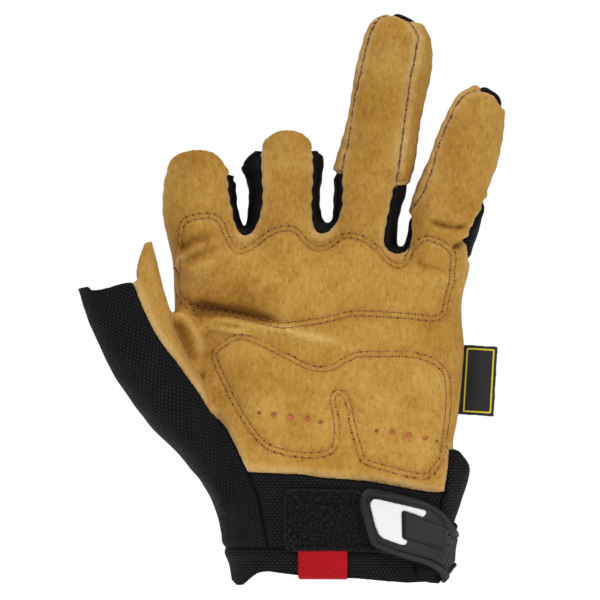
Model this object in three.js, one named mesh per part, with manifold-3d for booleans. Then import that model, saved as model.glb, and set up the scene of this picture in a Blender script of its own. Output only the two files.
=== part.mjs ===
// Mechanic glove for the left hand, palm side towards -Y, fingers up.
// The origin is the middle of the wrist opening at the hem. Millimetres, +Z up.

import * as THREE from 'three';
import { mergeVertices } from 'three/addons/utils/BufferGeometryUtils.js';
import Module from 'manifold-3d';

const wasm = await Module();
wasm.setup();

// Driving dimensions of the hand part
const CUFF_WIDTH = 84;
const CUFF_DEPTH = 56;
const CUFF_HEIGHT = 36;
const PALM_WIDTH = 110;
const PALM_LENGTH = 94;
const PALM_DEPTH = 40;
const INDEX_LENGTH = 38;
const INDEX_WIDTH = 28;
const MIDDLE_LENGTH = 45;
const MIDDLE_WIDTH = 28;
const RING_LENGTH = 90;
const RING_WIDTH = 28;
const LITTLE_LENGTH = 63;
const LITTLE_WIDTH = 26;
const FINGER_DEPTH = 26;
const FINGER_CURL = 16;
const THUMB_HEIGHT = 110;
const THUMB_WIDTH = 33;
const THUMB_DEPTH = 29;
const THUMB_FORWARD = 18;

// Walls, seams and pads
const LEATHER_WALL = 1.8;
const KNIT_WALL = 1.6;
const SEAM_GAP = 0.3;
const SEAM_BEHIND = 5;
const PAD_RISE = 1.2;
const PERFORATION_DEPTH = 1.1;
const PERFORATION_WIDTH = 2.9;

// Cuff furniture
const HEM_HEIGHT = 10.4;
const HEM_RISE = 0.5;
const LOOP_PATCH_WIDTH = 60;
const LOOP_PATCH_HEIGHT = 22;
const LOOP_PATCH_WALL = 1.3;
const LOOP_PATCH_DROP = 8;
const LOOP_PATCH_CORNER = 3;
const STRAP_WALL = 2;
const STRAP_HEIGHT = 20;
const STRAP_BACK_REACH = 34;
const TAB_START = 8;
const TAB_LENGTH = 38;
const TAB_HEIGHT = 33;
const TAB_RIM_WIDTH = 2.3;
const TAB_RIM_RISE = 1;
const INSERT_WALL = 0.7;
const BADGE_LENGTH = 16;
const BADGE_HEIGHT = 9.6;
const BADGE_SLOPE = 0.34;
const BADGE_WALL = 0.9;
const RIB_COUNT = 5;
const RIB_PITCH = 1.4;
const RIB_WIDTH = 0.7;
const RIB_RISE = 0.6;
const PULL_TAB_WIDTH = 18.6;
const PULL_TAB_HEIGHT = 10.6;
const PULL_TAB_WALL = 1.4;
const LABEL_WIDTH = 13.5;
const LABEL_HEIGHT = 27;
const LABEL_WALL = 1;
const LABEL_TUCK = 6;
const LABEL_TILT = 0.05;

// Fineness of the curved walls
const PALM_SIDES = 26;
const FINGER_SIDES = 14;
const THUMB_SIDES = 18;
const PORE_SIDES = 8;
const ROUND_STEPS = 6;
const CURL_STEPS = 6;
const REACH = 260;

// Sections of the cuff: rise as a share of the cuff's height, the rest of its width and depth
const CUFF_SECTIONS = [
  { rise: -0.25, left: -0.485, right: 0.503, front: 0.5, back: 0.5 },
  { rise: 0.0, left: -0.485, right: 0.503, front: 0.5, back: 0.5 },
  { rise: 0.62, left: -0.543, right: 0.511, front: 0.5, back: 0.49 },
  { rise: 0.79, left: -0.561, right: 0.538, front: 0.49, back: 0.47 },
  { rise: 0.96, left: -0.598, right: 0.57, front: 0.48, back: 0.45 },
];

// Sections of the palm, from the cuff up to the crotches of the fingers
const PALM_SECTIONS = [
  { rise: 0.05, left: -0.474, right: 0.449, front: 0.66, back: 0.6, slant: 0 },
  { rise: 0.18, left: -0.497, right: 0.401, front: 0.6, back: 0.45, slant: 0 },
  { rise: 0.28, left: -0.508, right: 0.422, front: 0.55, back: 0.42, slant: 0 },
  { rise: 0.42, left: -0.521, right: 0.433, front: 0.51, back: 0.44, slant: 0 },
  { rise: 0.57, left: -0.549, right: 0.439, front: 0.49, back: 0.46, slant: 0 },
  { rise: 0.82, left: -0.563, right: 0.44, front: 0.41, back: 0.43, slant: 0.06 },
  { rise: 0.9, left: -0.57, right: 0.455, front: 0.34, back: 0.36, slant: 0.1 },
  { rise: 0.955, left: -0.574, right: 0.455, front: 0.24, back: 0.25, slant: 0.14 },
];

// Sections of each finger: rise along its length, shift of the axis and half breadth
// as shares of its width, and half depth as a share of the finger depth
const CUT_FINGER_SECTIONS = [
  { rise: -0.75, shift: 0.04, half: 0.49, deep: 0.5 },
  { rise: -0.2, shift: 0.02, half: 0.515, deep: 0.56 },
  { rise: 0.15, shift: 0.01, half: 0.52, deep: 0.54 },
  { rise: 0.52, shift: -0.01, half: 0.495, deep: 0.5 },
  { rise: 0.72, shift: -0.005, half: 0.475, deep: 0.49 },
  { rise: 1.0, shift: 0, half: 0.45, deep: 0.47 },
  { rise: 1.25, shift: 0, half: 0.445, deep: 0.46 },
];
const FLARED_FINGER_SECTIONS = [
  { rise: -0.65, shift: 0, half: 0.49, deep: 0.5 },
  { rise: -0.15, shift: 0, half: 0.515, deep: 0.56 },
  { rise: 0.25, shift: 0.01, half: 0.52, deep: 0.52 },
  { rise: 0.38, shift: -0.01, half: 0.492, deep: 0.5 },
  { rise: 0.65, shift: -0.02, half: 0.525, deep: 0.49 },
  { rise: 0.74, shift: -0.03, half: 0.545, deep: 0.49 },
  { rise: 0.86, shift: -0.005, half: 0.5, deep: 0.48 },
  { rise: 1.0, shift: 0.01, half: 0.46, deep: 0.46 },
  { rise: 1.2, shift: 0.01, half: 0.44, deep: 0.45 },
];
const LONG_FINGER_SECTIONS = [
  { rise: -0.32, shift: 0.03, half: 0.47, deep: 0.48 },
  { rise: -0.1, shift: 0, half: 0.51, deep: 0.56 },
  { rise: 0.13, shift: -0.01, half: 0.478, deep: 0.51 },
  { rise: 0.2, shift: -0.02, half: 0.462, deep: 0.5 },
  { rise: 0.27, shift: -0.02, half: 0.495, deep: 0.5 },
  { rise: 0.33, shift: -0.025, half: 0.522, deep: 0.5 },
  { rise: 0.4, shift: -0.01, half: 0.535, deep: 0.5 },
  { rise: 0.47, shift: 0, half: 0.51, deep: 0.49 },
  { rise: 0.75, shift: 0.025, half: 0.505, deep: 0.46 },
  { rise: 0.84, shift: 0.025, half: 0.48, deep: 0.43 },
  { rise: 0.91, shift: 0, half: 0.425, deep: 0.38 },
  { rise: 0.95, shift: -0.03, half: 0.36, deep: 0.31 },
  { rise: 0.98, shift: -0.06, half: 0.25, deep: 0.21 },
  { rise: 1.0, shift: -0.08, half: 0.09, deep: 0.08 },
];
const SHORT_FINGER_SECTIONS = [
  { rise: -0.45, shift: 0.0, half: 0.5, deep: 0.48 },
  { rise: -0.12, shift: 0.0, half: 0.53, deep: 0.54 },
  { rise: 0.14, shift: 0.02, half: 0.545, deep: 0.51 },
  { rise: 0.27, shift: 0.0, half: 0.53, deep: 0.49 },
  { rise: 0.42, shift: 0.01, half: 0.505, deep: 0.48 },
  { rise: 0.71, shift: 0.01, half: 0.468, deep: 0.45 },
  { rise: 0.81, shift: 0.02, half: 0.424, deep: 0.41 },
  { rise: 0.89, shift: 0.01, half: 0.35, deep: 0.34 },
  { rise: 0.955, shift: -0.03, half: 0.22, deep: 0.23 },
  { rise: 1.0, shift: -0.02, half: 0.08, deep: 0.08 },
];

// The four fingers: root as shares of the palm, lean in degrees from upright
const FINGERS = {
  index: {
    across: -0.445, up: 0.93, lean: -5.7,
    length: INDEX_LENGTH, width: INDEX_WIDTH, sections: CUT_FINGER_SECTIONS,
  },
  middle: {
    across: -0.18, up: 0.93, lean: 0,
    length: MIDDLE_LENGTH, width: MIDDLE_WIDTH, sections: FLARED_FINGER_SECTIONS,
  },
  ring: {
    across: 0.086, up: 0.93, lean: 9.3,
    length: RING_LENGTH, width: RING_WIDTH, sections: LONG_FINGER_SECTIONS,
  },
  little: {
    across: 0.339, up: 0.93, lean: 16.5,
    length: LITTLE_LENGTH, width: LITTLE_WIDTH, sections: SHORT_FINGER_SECTIONS,
  },
};

// Webs that close the crotches between neighbouring fingers, each by its left finger's rise
const WEBS = [
  { left: 'index', right: 'middle', rise: 0.19 },
  { left: 'middle', right: 'ring', rise: 0.222 },
  { left: 'ring', right: 'little', rise: 0.023 },
];

// Sections of the thumb, level like the others: rise as a share of the thumb's height,
// across as a share of the palm's width, forward as a share of the thumb's reach forward
const THUMB_SECTIONS = [
  { rise: 0.19, across: -0.307, half: 0.345, forward: 0, deep: 0.52 },
  { rise: 0.31, across: -0.363, half: 0.345, forward: 0.12, deep: 0.6 },
  { rise: 0.42, across: -0.434, half: 0.395, forward: 0.3, deep: 0.64 },
  { rise: 0.53, across: -0.516, half: 0.49, forward: 0.5, deep: 0.63 },
  { rise: 0.645, across: -0.584, half: 0.53, forward: 0.7, deep: 0.6 },
  { rise: 0.755, across: -0.645, half: 0.525, forward: 0.83, deep: 0.56 },
  { rise: 0.865, across: -0.7, half: 0.51, forward: 0.93, deep: 0.525 },
  { rise: 0.975, across: -0.739, half: 0.473, forward: 1, deep: 0.5 },
  { rise: 1.09, across: -0.764, half: 0.461, forward: 1.05, deep: 0.5 },
  { rise: 1.2, across: -0.79, half: 0.45, forward: 1.1, deep: 0.5 },
];

// Palm frame: share of the palm's width from the middle, share of its length from the cuff
function palmPoint(across, up) {
  return [across * PALM_WIDTH, CUFF_HEIGHT + up * PALM_LENGTH];
}

// Cuff frame: share of the cuff's width from the middle, share of its height from the hem
function cuffPoint(across, up) {
  return [across * CUFF_WIDTH, up * CUFF_HEIGHT];
}

// How far the fingers bend towards the palm side at a height above the hem
function curlAt(height) {
  const knuckle = CUFF_HEIGHT + 0.7 * PALM_LENGTH;
  const tip = CUFF_HEIGHT + 0.93 * PALM_LENGTH + RING_LENGTH;
  const share = Math.max(0, (height - knuckle) / (tip - knuckle));
  return -FINGER_CURL * share ** 1.5;
}

// Value of a column at a rise, between the rows of a table of sections
function columnAt(sections, rise, column) {
  const last = sections.length - 1;
  const above = sections.findIndex((row) => row.rise >= rise);
  if (above <= 0) {
    return above < 0 ? sections[last][column] : sections[0][column];
  }
  const low = sections[above - 1];
  const high = sections[above];
  const share = (rise - low.rise) / (high.rise - low.rise);
  return low[column] + share * (high[column] - low[column]);
}

// Finger frame: rise along the finger, side from -1 at its left edge to 1 at its right edge
function fingerPoint(finger, rise, side) {
  const [rootX, rootZ] = palmPoint(finger.across, finger.up);
  const z = rootZ + rise * finger.length;
  const shift = columnAt(finger.sections, rise, 'shift') * finger.width;
  const half = columnAt(finger.sections, rise, 'half') * finger.width;
  const lean = Math.tan(THREE.MathUtils.degToRad(finger.lean)) * (z - rootZ);
  return [rootX + lean + shift + side * half, z];
}

// A point beside a finger, its distance from the axis as a share of the finger's width
function besideFinger(finger, rise, share) {
  const [x, z] = fingerPoint(finger, rise, 0);
  return [x + share * finger.width, z];
}

// One level ring of a hand part: a superellipse with its own front and back depth
function ring({ left, right, front, back, middle, z, slant, power, sides }) {
  const centre = (left + right) / 2;
  const half = (right - left) / 2;
  const points = [];
  for (let i = 0; i < sides; i += 1) {
    const turn = (2 * Math.PI * i) / sides;
    const bend = (value) => Math.sign(value) * Math.abs(value) ** (2 / power);
    const x = centre + half * bend(Math.cos(turn));
    const depth = Math.sin(turn) < 0 ? front : back;
    points.push(new THREE.Vector3(x, middle + depth * bend(Math.sin(turn)), z - slant * x));
  }
  return points;
}

// Closed solid through a stack of rings, with a fan over each end
function loft(rings) {
  const sides = rings[0].length;
  const middles = [rings[0], rings[rings.length - 1]].map((points) => {
    const sum = points.reduce((total, point) => total.add(point), new THREE.Vector3());
    return sum.divideScalar(sides);
  });
  const vertices = [...rings.flat(), ...middles];
  const index = [];
  for (let level = 0; level < rings.length - 1; level += 1) {
    for (let i = 0; i < sides; i += 1) {
      const a = level * sides + i;
      const b = level * sides + ((i + 1) % sides);
      index.push(a, b, b + sides, a, b + sides, a + sides);
    }
  }
  const top = (rings.length - 1) * sides;
  for (let i = 0; i < sides; i += 1) {
    const next = (i + 1) % sides;
    index.push(next, i, rings.length * sides);
    index.push(top + i, top + next, rings.length * sides + 1);
  }
  const geometry = new THREE.BufferGeometry();
  geometry.setAttribute('position', new THREE.Float32BufferAttribute(vertices.flatMap((v) => v.toArray()), 3));
  geometry.setIndex(index);
  return toSolid(geometry);
}

// Merged mesh as a solid that can be joined and cut
function toSolid(geometry) {
  geometry.deleteAttribute('normal');
  geometry.deleteAttribute('uv');
  const merged = mergeVertices(geometry, 1e-4);
  const vertProperties = new Float32Array(merged.attributes.position.array);
  const triVerts = new Uint32Array(merged.index.array);
  return new wasm.Manifold(new wasm.Mesh({ numProp: 3, vertProperties, triVerts }));
}

// Cuff and palm in one body, its walls moved outwards by grow
function handBody(grow) {
  const cuffRings = CUFF_SECTIONS.map((row) => ring({
    left: row.left * CUFF_WIDTH - grow,
    right: row.right * CUFF_WIDTH + grow,
    front: row.front * CUFF_DEPTH + grow,
    back: row.back * CUFF_DEPTH + grow,
    middle: 0, z: row.rise * CUFF_HEIGHT, slant: 0, power: 2.3, sides: PALM_SIDES,
  }));
  const palmRings = PALM_SECTIONS.map((row) => {
    const z = CUFF_HEIGHT + row.rise * PALM_LENGTH;
    return ring({
      left: row.left * PALM_WIDTH - grow,
      right: row.right * PALM_WIDTH + grow,
      front: row.front * PALM_DEPTH + grow,
      back: row.back * PALM_DEPTH + grow,
      middle: curlAt(z), z: z + grow * (row.rise > 0.9 ? 1 : 0),
      slant: (row.slant * PALM_LENGTH) / PALM_WIDTH, power: 2.4, sides: PALM_SIDES,
    });
  });
  return loft([...cuffRings, ...palmRings]);
}

// One finger's tube, its walls moved outwards by grow
function fingerBody(finger, grow) {
  const top = finger.sections[finger.sections.length - 1];
  const rings = finger.sections.map((row) => {
    const [left] = fingerPoint(finger, row.rise, -1);
    const [right, z] = fingerPoint(finger, row.rise, 1);
    const depth = row.deep * FINGER_DEPTH + grow;
    const lift = row.rise > 0.9 && top.half < 0.2 ? grow : 0;
    return ring({
      left: left - grow, right: right + grow, front: depth, back: depth,
      middle: curlAt(z), z: z + lift, slant: 0, power: 2.2, sides: FINGER_SIDES,
    });
  });
  return loft(rings);
}

// Web between two fingers, its walls moved outwards by grow
function webBody(web, grow) {
  const [, top] = fingerPoint(FINGERS[web.left], web.rise, 0);
  const rings = [top - PALM_LENGTH / 4, top].map((z) => ring({
    left: fingerPoint(FINGERS[web.left], web.rise, 0.2)[0],
    right: fingerPoint(FINGERS[web.right], web.rise, -0.2)[0],
    front: 0.42 * FINGER_DEPTH + grow, back: 0.42 * FINGER_DEPTH + grow,
    middle: curlAt(z), z: z + grow, slant: 0, power: 3, sides: FINGER_SIDES,
  }));
  return loft(rings);
}

// Across and height of a point on the thumb, side from -1 at its left edge to 1 at its right
function thumbPoint(rise, side) {
  const centre = columnAt(THUMB_SECTIONS, rise, 'across') * PALM_WIDTH;
  const half = columnAt(THUMB_SECTIONS, rise, 'half') * THUMB_WIDTH;
  return [centre + side * half, rise * THUMB_HEIGHT];
}

// The thumb's tube, its walls moved outwards by grow
function thumbBody(grow) {
  const rings = THUMB_SECTIONS.map((row) => {
    const [left, z] = thumbPoint(row.rise, -1);
    const [right] = thumbPoint(row.rise, 1);
    const depth = row.deep * THUMB_DEPTH + grow;
    return ring({
      left: left - grow, right: right + grow, front: depth, back: depth,
      middle: -row.forward * THUMB_FORWARD, z, slant: 0, power: 2.2, sides: THUMB_SIDES,
    });
  });
  return loft(rings);
}

// The whole hand form, its walls moved outwards by grow
function handForm(grow) {
  const fingers = Object.values(FINGERS).map((finger) => fingerBody(finger, grow));
  const webs = WEBS.map((web) => webBody(web, grow));
  return [...fingers, ...webs].reduce((body, part) => body.add(part), handBody(grow).add(thumbBody(grow)));
}

// Shell of the hand form between two distances from its surface
const forms = new Map();
function formAt(grow) {
  const key = grow.toFixed(3);
  if (!forms.has(key)) {
    forms.set(key, handForm(grow));
  }
  return forms.get(key);
}
function shell(inner, outer) {
  return formAt(outer).subtract(formAt(inner));
}

// Closed outline moved outwards by a distance, along the mean normal at each corner
function offsetOutline(outline, distance) {
  const area = outline.reduce((sum, [x, z], i) => {
    const [nextX, nextZ] = outline[(i + 1) % outline.length];
    return sum + x * nextZ - nextX * z;
  }, 0);
  const turn = Math.sign(area);
  const normal = ([ax, az], [bx, bz]) => {
    const length = Math.hypot(bx - ax, bz - az) || 1;
    return [(turn * (bz - az)) / length, (-turn * (bx - ax)) / length];
  };
  return outline.map((point, i) => {
    const before = outline[(i + outline.length - 1) % outline.length];
    const after = outline[(i + 1) % outline.length];
    const [ax, az] = normal(before, point);
    const [bx, bz] = normal(point, after);
    const stretch = Math.max(0.5, (1 + ax * bx + az * bz) / 2);
    const half = distance / (2 * stretch);
    return [point[0] + half * (ax + bx), point[1] + half * (az + bz)];
  });
}

// Solid behind a front-view outline, right through the glove
function prism(outline, front = -REACH / 2, back = REACH / 2) {
  const shape = new THREE.Shape(outline.map(([x, z]) => new THREE.Vector2(x, z)));
  const geometry = new THREE.ExtrudeGeometry(shape, { depth: back - front, bevelEnabled: false });
  const turn = new THREE.Matrix4().makeBasis(
    new THREE.Vector3(1, 0, 0), new THREE.Vector3(0, 0, 1), new THREE.Vector3(0, -1, 0),
  );
  geometry.applyMatrix4(turn);
  geometry.translate(0, back, 0);
  return toSolid(geometry);
}

// Everything on the palm side of the seam that runs round the edge of the hand
function palmSide(extra) {
  const knuckle = 0.7 * PALM_LENGTH;
  const heights = [-2 * CUFF_HEIGHT, 0, knuckle / 2, knuckle];
  const lift = PALM_LENGTH - knuckle + RING_LENGTH;
  for (let i = 1; i <= CURL_STEPS; i += 1) {
    heights.push(knuckle + (lift * i) / CURL_STEPS);
  }
  const seam = heights.map((height) => {
    const z = CUFF_HEIGHT + height;
    return [curlAt(z) + SEAM_BEHIND + extra, z];
  });
  const shape = new THREE.Shape([
    new THREE.Vector2(-REACH, seam[0][1]),
    ...seam.map(([y, z]) => new THREE.Vector2(y, z)),
    new THREE.Vector2(-REACH, seam[seam.length - 1][1]),
  ]);
  const geometry = new THREE.ExtrudeGeometry(shape, { depth: 2 * REACH, bevelEnabled: false });
  const turn = new THREE.Matrix4().makeBasis(
    new THREE.Vector3(0, 1, 0), new THREE.Vector3(0, 0, 1), new THREE.Vector3(1, 0, 0),
  );
  geometry.applyMatrix4(turn);
  geometry.translate(-REACH, 0, 0);
  return toSolid(geometry);
}

// Largest single body of a solid, which drops the slivers that cuts leave
function mainBody(solid) {
  const bodies = solid.decompose();
  return bodies.reduce((best, body) => (body.volume() > best.volume() ? body : best));
}

// Smooth arch from one point to another with a given height, for tongue tops
function arch([fromX, fromZ], [toX, toZ], rise) {
  const points = [];
  for (let i = 1; i < ROUND_STEPS; i += 1) {
    const turn = Math.PI * (1 - i / ROUND_STEPS);
    const share = (1 + Math.cos(turn)) / 2;
    const lift = rise * Math.sin(turn) ** 0.9;
    points.push([fromX + share * (toX - fromX), fromZ + share * (toZ - fromZ) + lift]);
  }
  return points;
}

const { index, middle, ring: ringFinger, little } = FINGERS;

// Thumb seam frame: share of the palm's width from the middle, share of the thumb's height
function seamPoint(across, rise) {
  return [across * PALM_WIDTH, rise * THUMB_HEIGHT];
}

// Seam between the leather and the thumb's knit panel, from the thumb's top to the cuff
const THUMB_SEAM = [
  seamPoint(-0.702, 1.009),
  seamPoint(-0.682, 0.962),
  seamPoint(-0.65, 0.888),
  seamPoint(-0.627, 0.841),
  seamPoint(-0.56, 0.751),
  palmPoint(-0.492, 0.391),
  palmPoint(-0.432, 0.286),
  palmPoint(-0.38, 0.207),
  palmPoint(-0.343, 0.12),
  palmPoint(-0.309, 0.036),
];

// Lower edge of the palm leather, from the thumb seam to the outer edge of the wrist
const WRIST_EDGE = [
  palmPoint(-0.118, 0.027),
  palmPoint(0.093, 0.003),
  palmPoint(0.25, -0.028),
  palmPoint(0.322, -0.043),
  palmPoint(0.371, -0.045),
  palmPoint(0.384, 0.055),
  palmPoint(0.392, 0.135),
];

// Front outline of the palm leather with the fronts of all four fingers
function leatherOutline() {
  const indexLeft = fingerPoint(index, 0.62, -1.25);
  const indexNotch = fingerPoint(index, 0.74, -0.98);
  const indexRight = fingerPoint(index, 0.72, 0.82);
  const middleLeft = fingerPoint(middle, 0.8, -0.62);
  const middleRight = fingerPoint(middle, 0.86, 0.78);
  return [
    ...THUMB_SEAM,
    ...WRIST_EDGE,
    palmPoint(0.6, 0.16),
    palmPoint(0.6, 0.9),
    fingerPoint(little, -0.02, 0.9),
    fingerPoint(little, 0.05, 0.8),
    fingerPoint(little, 0.1, 0.84),
    fingerPoint(little, 0.17, 0.82),
    fingerPoint(little, 0.26, 1.0),
    fingerPoint(little, 0.34, 1.3),
    fingerPoint(little, 0.8, 1.3),
    fingerPoint(little, 0.87, 1.02),
    fingerPoint(little, 0.925, 0.85),
    fingerPoint(little, 0.965, 0.75),
    fingerPoint(little, 0.965, -0.2),
    fingerPoint(little, 0.925, -0.66),
    fingerPoint(little, 0.85, -0.82),
    fingerPoint(little, 0.66, -0.84),
    fingerPoint(little, 0.5, -0.84),
    fingerPoint(little, 0.36, -0.8),
    fingerPoint(little, 0.2, -0.91),
    fingerPoint(little, 0.09, -0.91),
    fingerPoint(little, 0.03, -0.84),
    fingerPoint(ringFinger, -0.012, 1.04),
    fingerPoint(ringFinger, -0.003, 0.72),
    fingerPoint(ringFinger, 0.03, 0.6),
    fingerPoint(ringFinger, 0.1, 0.6),
    fingerPoint(ringFinger, 0.2, 0.66),
    fingerPoint(ringFinger, 0.27, 0.69),
    fingerPoint(ringFinger, 0.4, 0.61),
    fingerPoint(ringFinger, 0.6, 0.53),
    fingerPoint(ringFinger, 0.78, 0.5),
    fingerPoint(ringFinger, 0.88, 0.62),
    fingerPoint(ringFinger, 0.93, 0.62),
    fingerPoint(ringFinger, 0.97, 0.6),
    fingerPoint(ringFinger, 0.99, 0.1),
    fingerPoint(ringFinger, 0.985, -0.5),
    fingerPoint(ringFinger, 0.95, -0.82),
    fingerPoint(ringFinger, 0.88, -0.9),
    fingerPoint(ringFinger, 0.6, -0.92),
    fingerPoint(ringFinger, 0.4, -0.81),
    fingerPoint(ringFinger, 0.2, -0.81),
    fingerPoint(ringFinger, 0.15, -0.82),
    fingerPoint(ringFinger, 0.1, -0.9),
    fingerPoint(middle, 0.16, 1.02),
    fingerPoint(middle, 0.13, 0.98),
    fingerPoint(middle, 0.15, 0.84),
    fingerPoint(middle, 0.26, 0.76),
    fingerPoint(middle, 0.6, 0.8),
    middleRight,
    ...arch(middleRight, middleLeft, 0.16 * MIDDLE_LENGTH),
    middleLeft,
    fingerPoint(middle, 0.5, -0.6),
    fingerPoint(middle, 0.33, -0.62),
    fingerPoint(middle, 0.22, -0.74),
    fingerPoint(middle, 0.15, -0.91),
    fingerPoint(index, 0.14, 0.96),
    fingerPoint(index, 0.22, 0.84),
    fingerPoint(index, 0.42, 0.8),
    fingerPoint(index, 0.6, 0.8),
    indexRight,
    ...arch(indexRight, indexNotch, 0.24 * INDEX_LENGTH),
    indexNotch,
    indexLeft,
    fingerPoint(index, -0.3, -1.2),
    palmPoint(-0.569, 0.684),
    ...thumbTongueEdge(),
  ];
}

// Free edge of the leather tongue on the thumb, up its inner side, over the tip and down
function thumbTongueEdge() {
  return [
    thumbPoint(0.93, 1.05),
    thumbPoint(1.0, 1.06),
    thumbPoint(1.15, 1.08),
    thumbPoint(1.15, 0.93),
    thumbPoint(1.134, 0.83),
    thumbPoint(1.102, 0.685),
    thumbPoint(1.065, 0.555),
    thumbPoint(1.02, 0.465),
  ];
}

// Leather strip on the inner side of the thumb, which wraps right round that side
function thumbTongueOutline() {
  return [
    ...THUMB_SEAM.slice(0, 3),
    seamPoint(-0.6, 0.888),
    ...thumbTongueEdge(),
  ];
}

// Knit panel of the thumb, from its open top down to the hem
function thumbPanelOutline() {
  const hem = HEM_HEIGHT + SEAM_GAP;
  return [
    ...THUMB_SEAM,
    cuffPoint(-0.357, 0.85),
    cuffPoint(-0.315, 0.32),
    [cuffPoint(-0.315, 0)[0], hem],
    [-PALM_WIDTH, hem],
    [-PALM_WIDTH, 0.985 * THUMB_HEIGHT],
    thumbPoint(0.988, -1.1),
  ];
}

// Cuff's front, between the thumb panel and the outer side seam
function cuffFrontOutline() {
  const hem = HEM_HEIGHT + SEAM_GAP;
  return [
    cuffPoint(-0.45, 1.15),
    [cuffPoint(-0.45, 0)[0], hem],
    [cuffPoint(0.45, 0)[0], hem],
    cuffPoint(0.47, 0.8),
    [palmPoint(0.371, 0)[0], CUFF_HEIGHT * 0.88],
    palmPoint(0.3, 0.06),
  ];
}

// Stretch panels between two neighbouring fingers, by the outer edges of each
function fourchetteOutline(leftFinger, leftRise, rightFinger, rightRise, below) {
  return [
    fingerPoint(leftFinger, below, 0.3),
    fingerPoint(leftFinger, leftRise, 0.3),
    fingerPoint(leftFinger, leftRise, 1.06),
    fingerPoint(leftFinger, 0.4 * leftRise + 0.16, 1.08),
    fingerPoint(rightFinger, 0.4 * rightRise + 0.16, -1.08),
    fingerPoint(rightFinger, rightRise, -1.06),
    fingerPoint(rightFinger, rightRise, -0.3),
    fingerPoint(rightFinger, below, -0.3),
  ];
}

// Side panel of a full finger, from its stitched lower hem to the tip
function sideOutline(finger, from, side) {
  const rises = [from, 0.5, 0.75, 0.88, 0.94, 0.975];
  const outer = rises.map((rise) => fingerPoint(finger, rise, side * 1.3));
  const inner = rises.map((rise) => fingerPoint(finger, rise, side * 0.25));
  return [...outer, ...inner.reverse()];
}

// Back of the hand and of all four fingers, as the front view would show it
function backOutline() {
  const hem = HEM_HEIGHT + SEAM_GAP;
  return [
    [-PALM_WIDTH / 2, hem],
    [PALM_WIDTH, hem],
    [PALM_WIDTH, CUFF_HEIGHT + PALM_LENGTH + LITTLE_LENGTH],
    besideFinger(little, 1.1, 0.8),
    besideFinger(little, 1.1, -0.3),
    besideFinger(ringFinger, 0.75, 0.75),
    besideFinger(ringFinger, 1.1, 0.75),
    besideFinger(ringFinger, 1.1, -0.75),
    besideFinger(ringFinger, 0.5, -0.7),
    besideFinger(ringFinger, 0.2, -0.53),
    fingerPoint(middle, 0.72, 1.16),
    fingerPoint(middle, 0.84, 1.16),
    fingerPoint(middle, 0.84, -1.2),
    fingerPoint(middle, 0.3, -1.1),
    fingerPoint(index, 0.66, 1.1),
    fingerPoint(index, 0.78, 1.1),
    fingerPoint(index, 0.78, -1.3),
    fingerPoint(index, -0.4, -1.3),
    palmPoint(-0.569, 0.684),
    palmPoint(-0.655, 0.656),
    palmPoint(-0.7, 0.3),
  ];
}

// Upper pad under the fingers, as shares of the palm
const UPPER_PAD = [
  [-0.56, 0.55], [-0.535, 0.71], [-0.49, 0.775], [-0.445, 0.79], [-0.4, 0.77], [-0.37, 0.71],
  [-0.335, 0.655], [-0.27, 0.69], [-0.18, 0.745], [-0.12, 0.725], [-0.06, 0.66], [0, 0.68],
  [0.05, 0.715], [0.11, 0.69], [0.18, 0.615], [0.22, 0.59], [0.25, 0.64], [0.3, 0.7],
  [0.36, 0.69], [0.41, 0.63], [0.4, 0.55], [0.375, 0.43], [0.33, 0.35], [0.15, 0.36],
  [-0.05, 0.34], [-0.15, 0.325], [-0.3, 0.34], [-0.45, 0.37], [-0.535, 0.42],
];

// Lower pad on the heel of the hand, with its narrow notch
const LOWER_PAD = [
  [-0.432, 0.49], [-0.37, 0.56], [-0.3, 0.56], [-0.2, 0.5], [-0.09, 0.435], [-0.02, 0.43],
  [0.06, 0.48], [0.22, 0.49], [0.33, 0.47], [0.39, 0.37], [0.393, 0.21], [0.37, 0.07],
  [0.3, 0.01], [0.2, 0.03], [0.09, 0.06], [0.06, 0.16], [0.035, 0.29], [0.005, 0.31],
  [0.01, 0.2], [0.005, 0.12], [-0.04, 0.08], [-0.2, 0.09], [-0.3, 0.19], [-0.38, 0.32],
];

// Small open pores of the lower pad: two rows of five, wide in the middle
const PERFORATION_ROWS = [
  { across: [-0.265, -0.058], up: [0.27, 0.225] },
  { across: [0.133, 0.335], up: [0.19, 0.158] },
];
const PERFORATION_SIZES = [0.53, 0.8, 1, 0.8, 0.5];

// Outline of the moulded tab of the closure strap, in tab lengths and tab heights
const TAB_OUTLINE = [
  [0.084, 0.997], [0.032, 0.952], [0, 0.87], [0.008, 0.777], [0.045, 0.645], [0.076, 0.509],
  [0.112, 0.397], [0.147, 0.345], [0.218, 0.303], [0.353, 0.242], [0.532, 0.181], [0.711, 0.124],
  [0.816, 0.07], [0.879, 0], [1.8, 0], [1.8, 0.606], [0.96, 0.62], [0.924, 0.685],
  [0.845, 0.767], [0.755, 0.83], [0.621, 0.879], [0.487, 0.93], [0.353, 0.967], [0.174, 0.988],
];

// White inlay of the tab, a broad hook round the badge
const INSERT_OUTLINE = [
  [0.153, 0.888], [0.108, 0.83], [0.124, 0.748], [0.16, 0.591], [0.2, 0.479], [0.247, 0.433],
  [0.353, 0.391], [0.442, 0.358], [0.474, 0.367], [0.497, 0.412], [0.437, 0.442], [0.432, 0.724],
  [0.442, 0.752], [0.647, 0.679], [0.687, 0.736], [0.671, 0.764], [0.532, 0.797], [0.353, 0.839],
  [0.211, 0.876],
];

// A point of the closure tab, across in tab lengths from its free end, up in tab heights
function tabPoint([across, up]) {
  return [TAB_START + across * TAB_LENGTH, up * TAB_HEIGHT];
}

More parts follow.
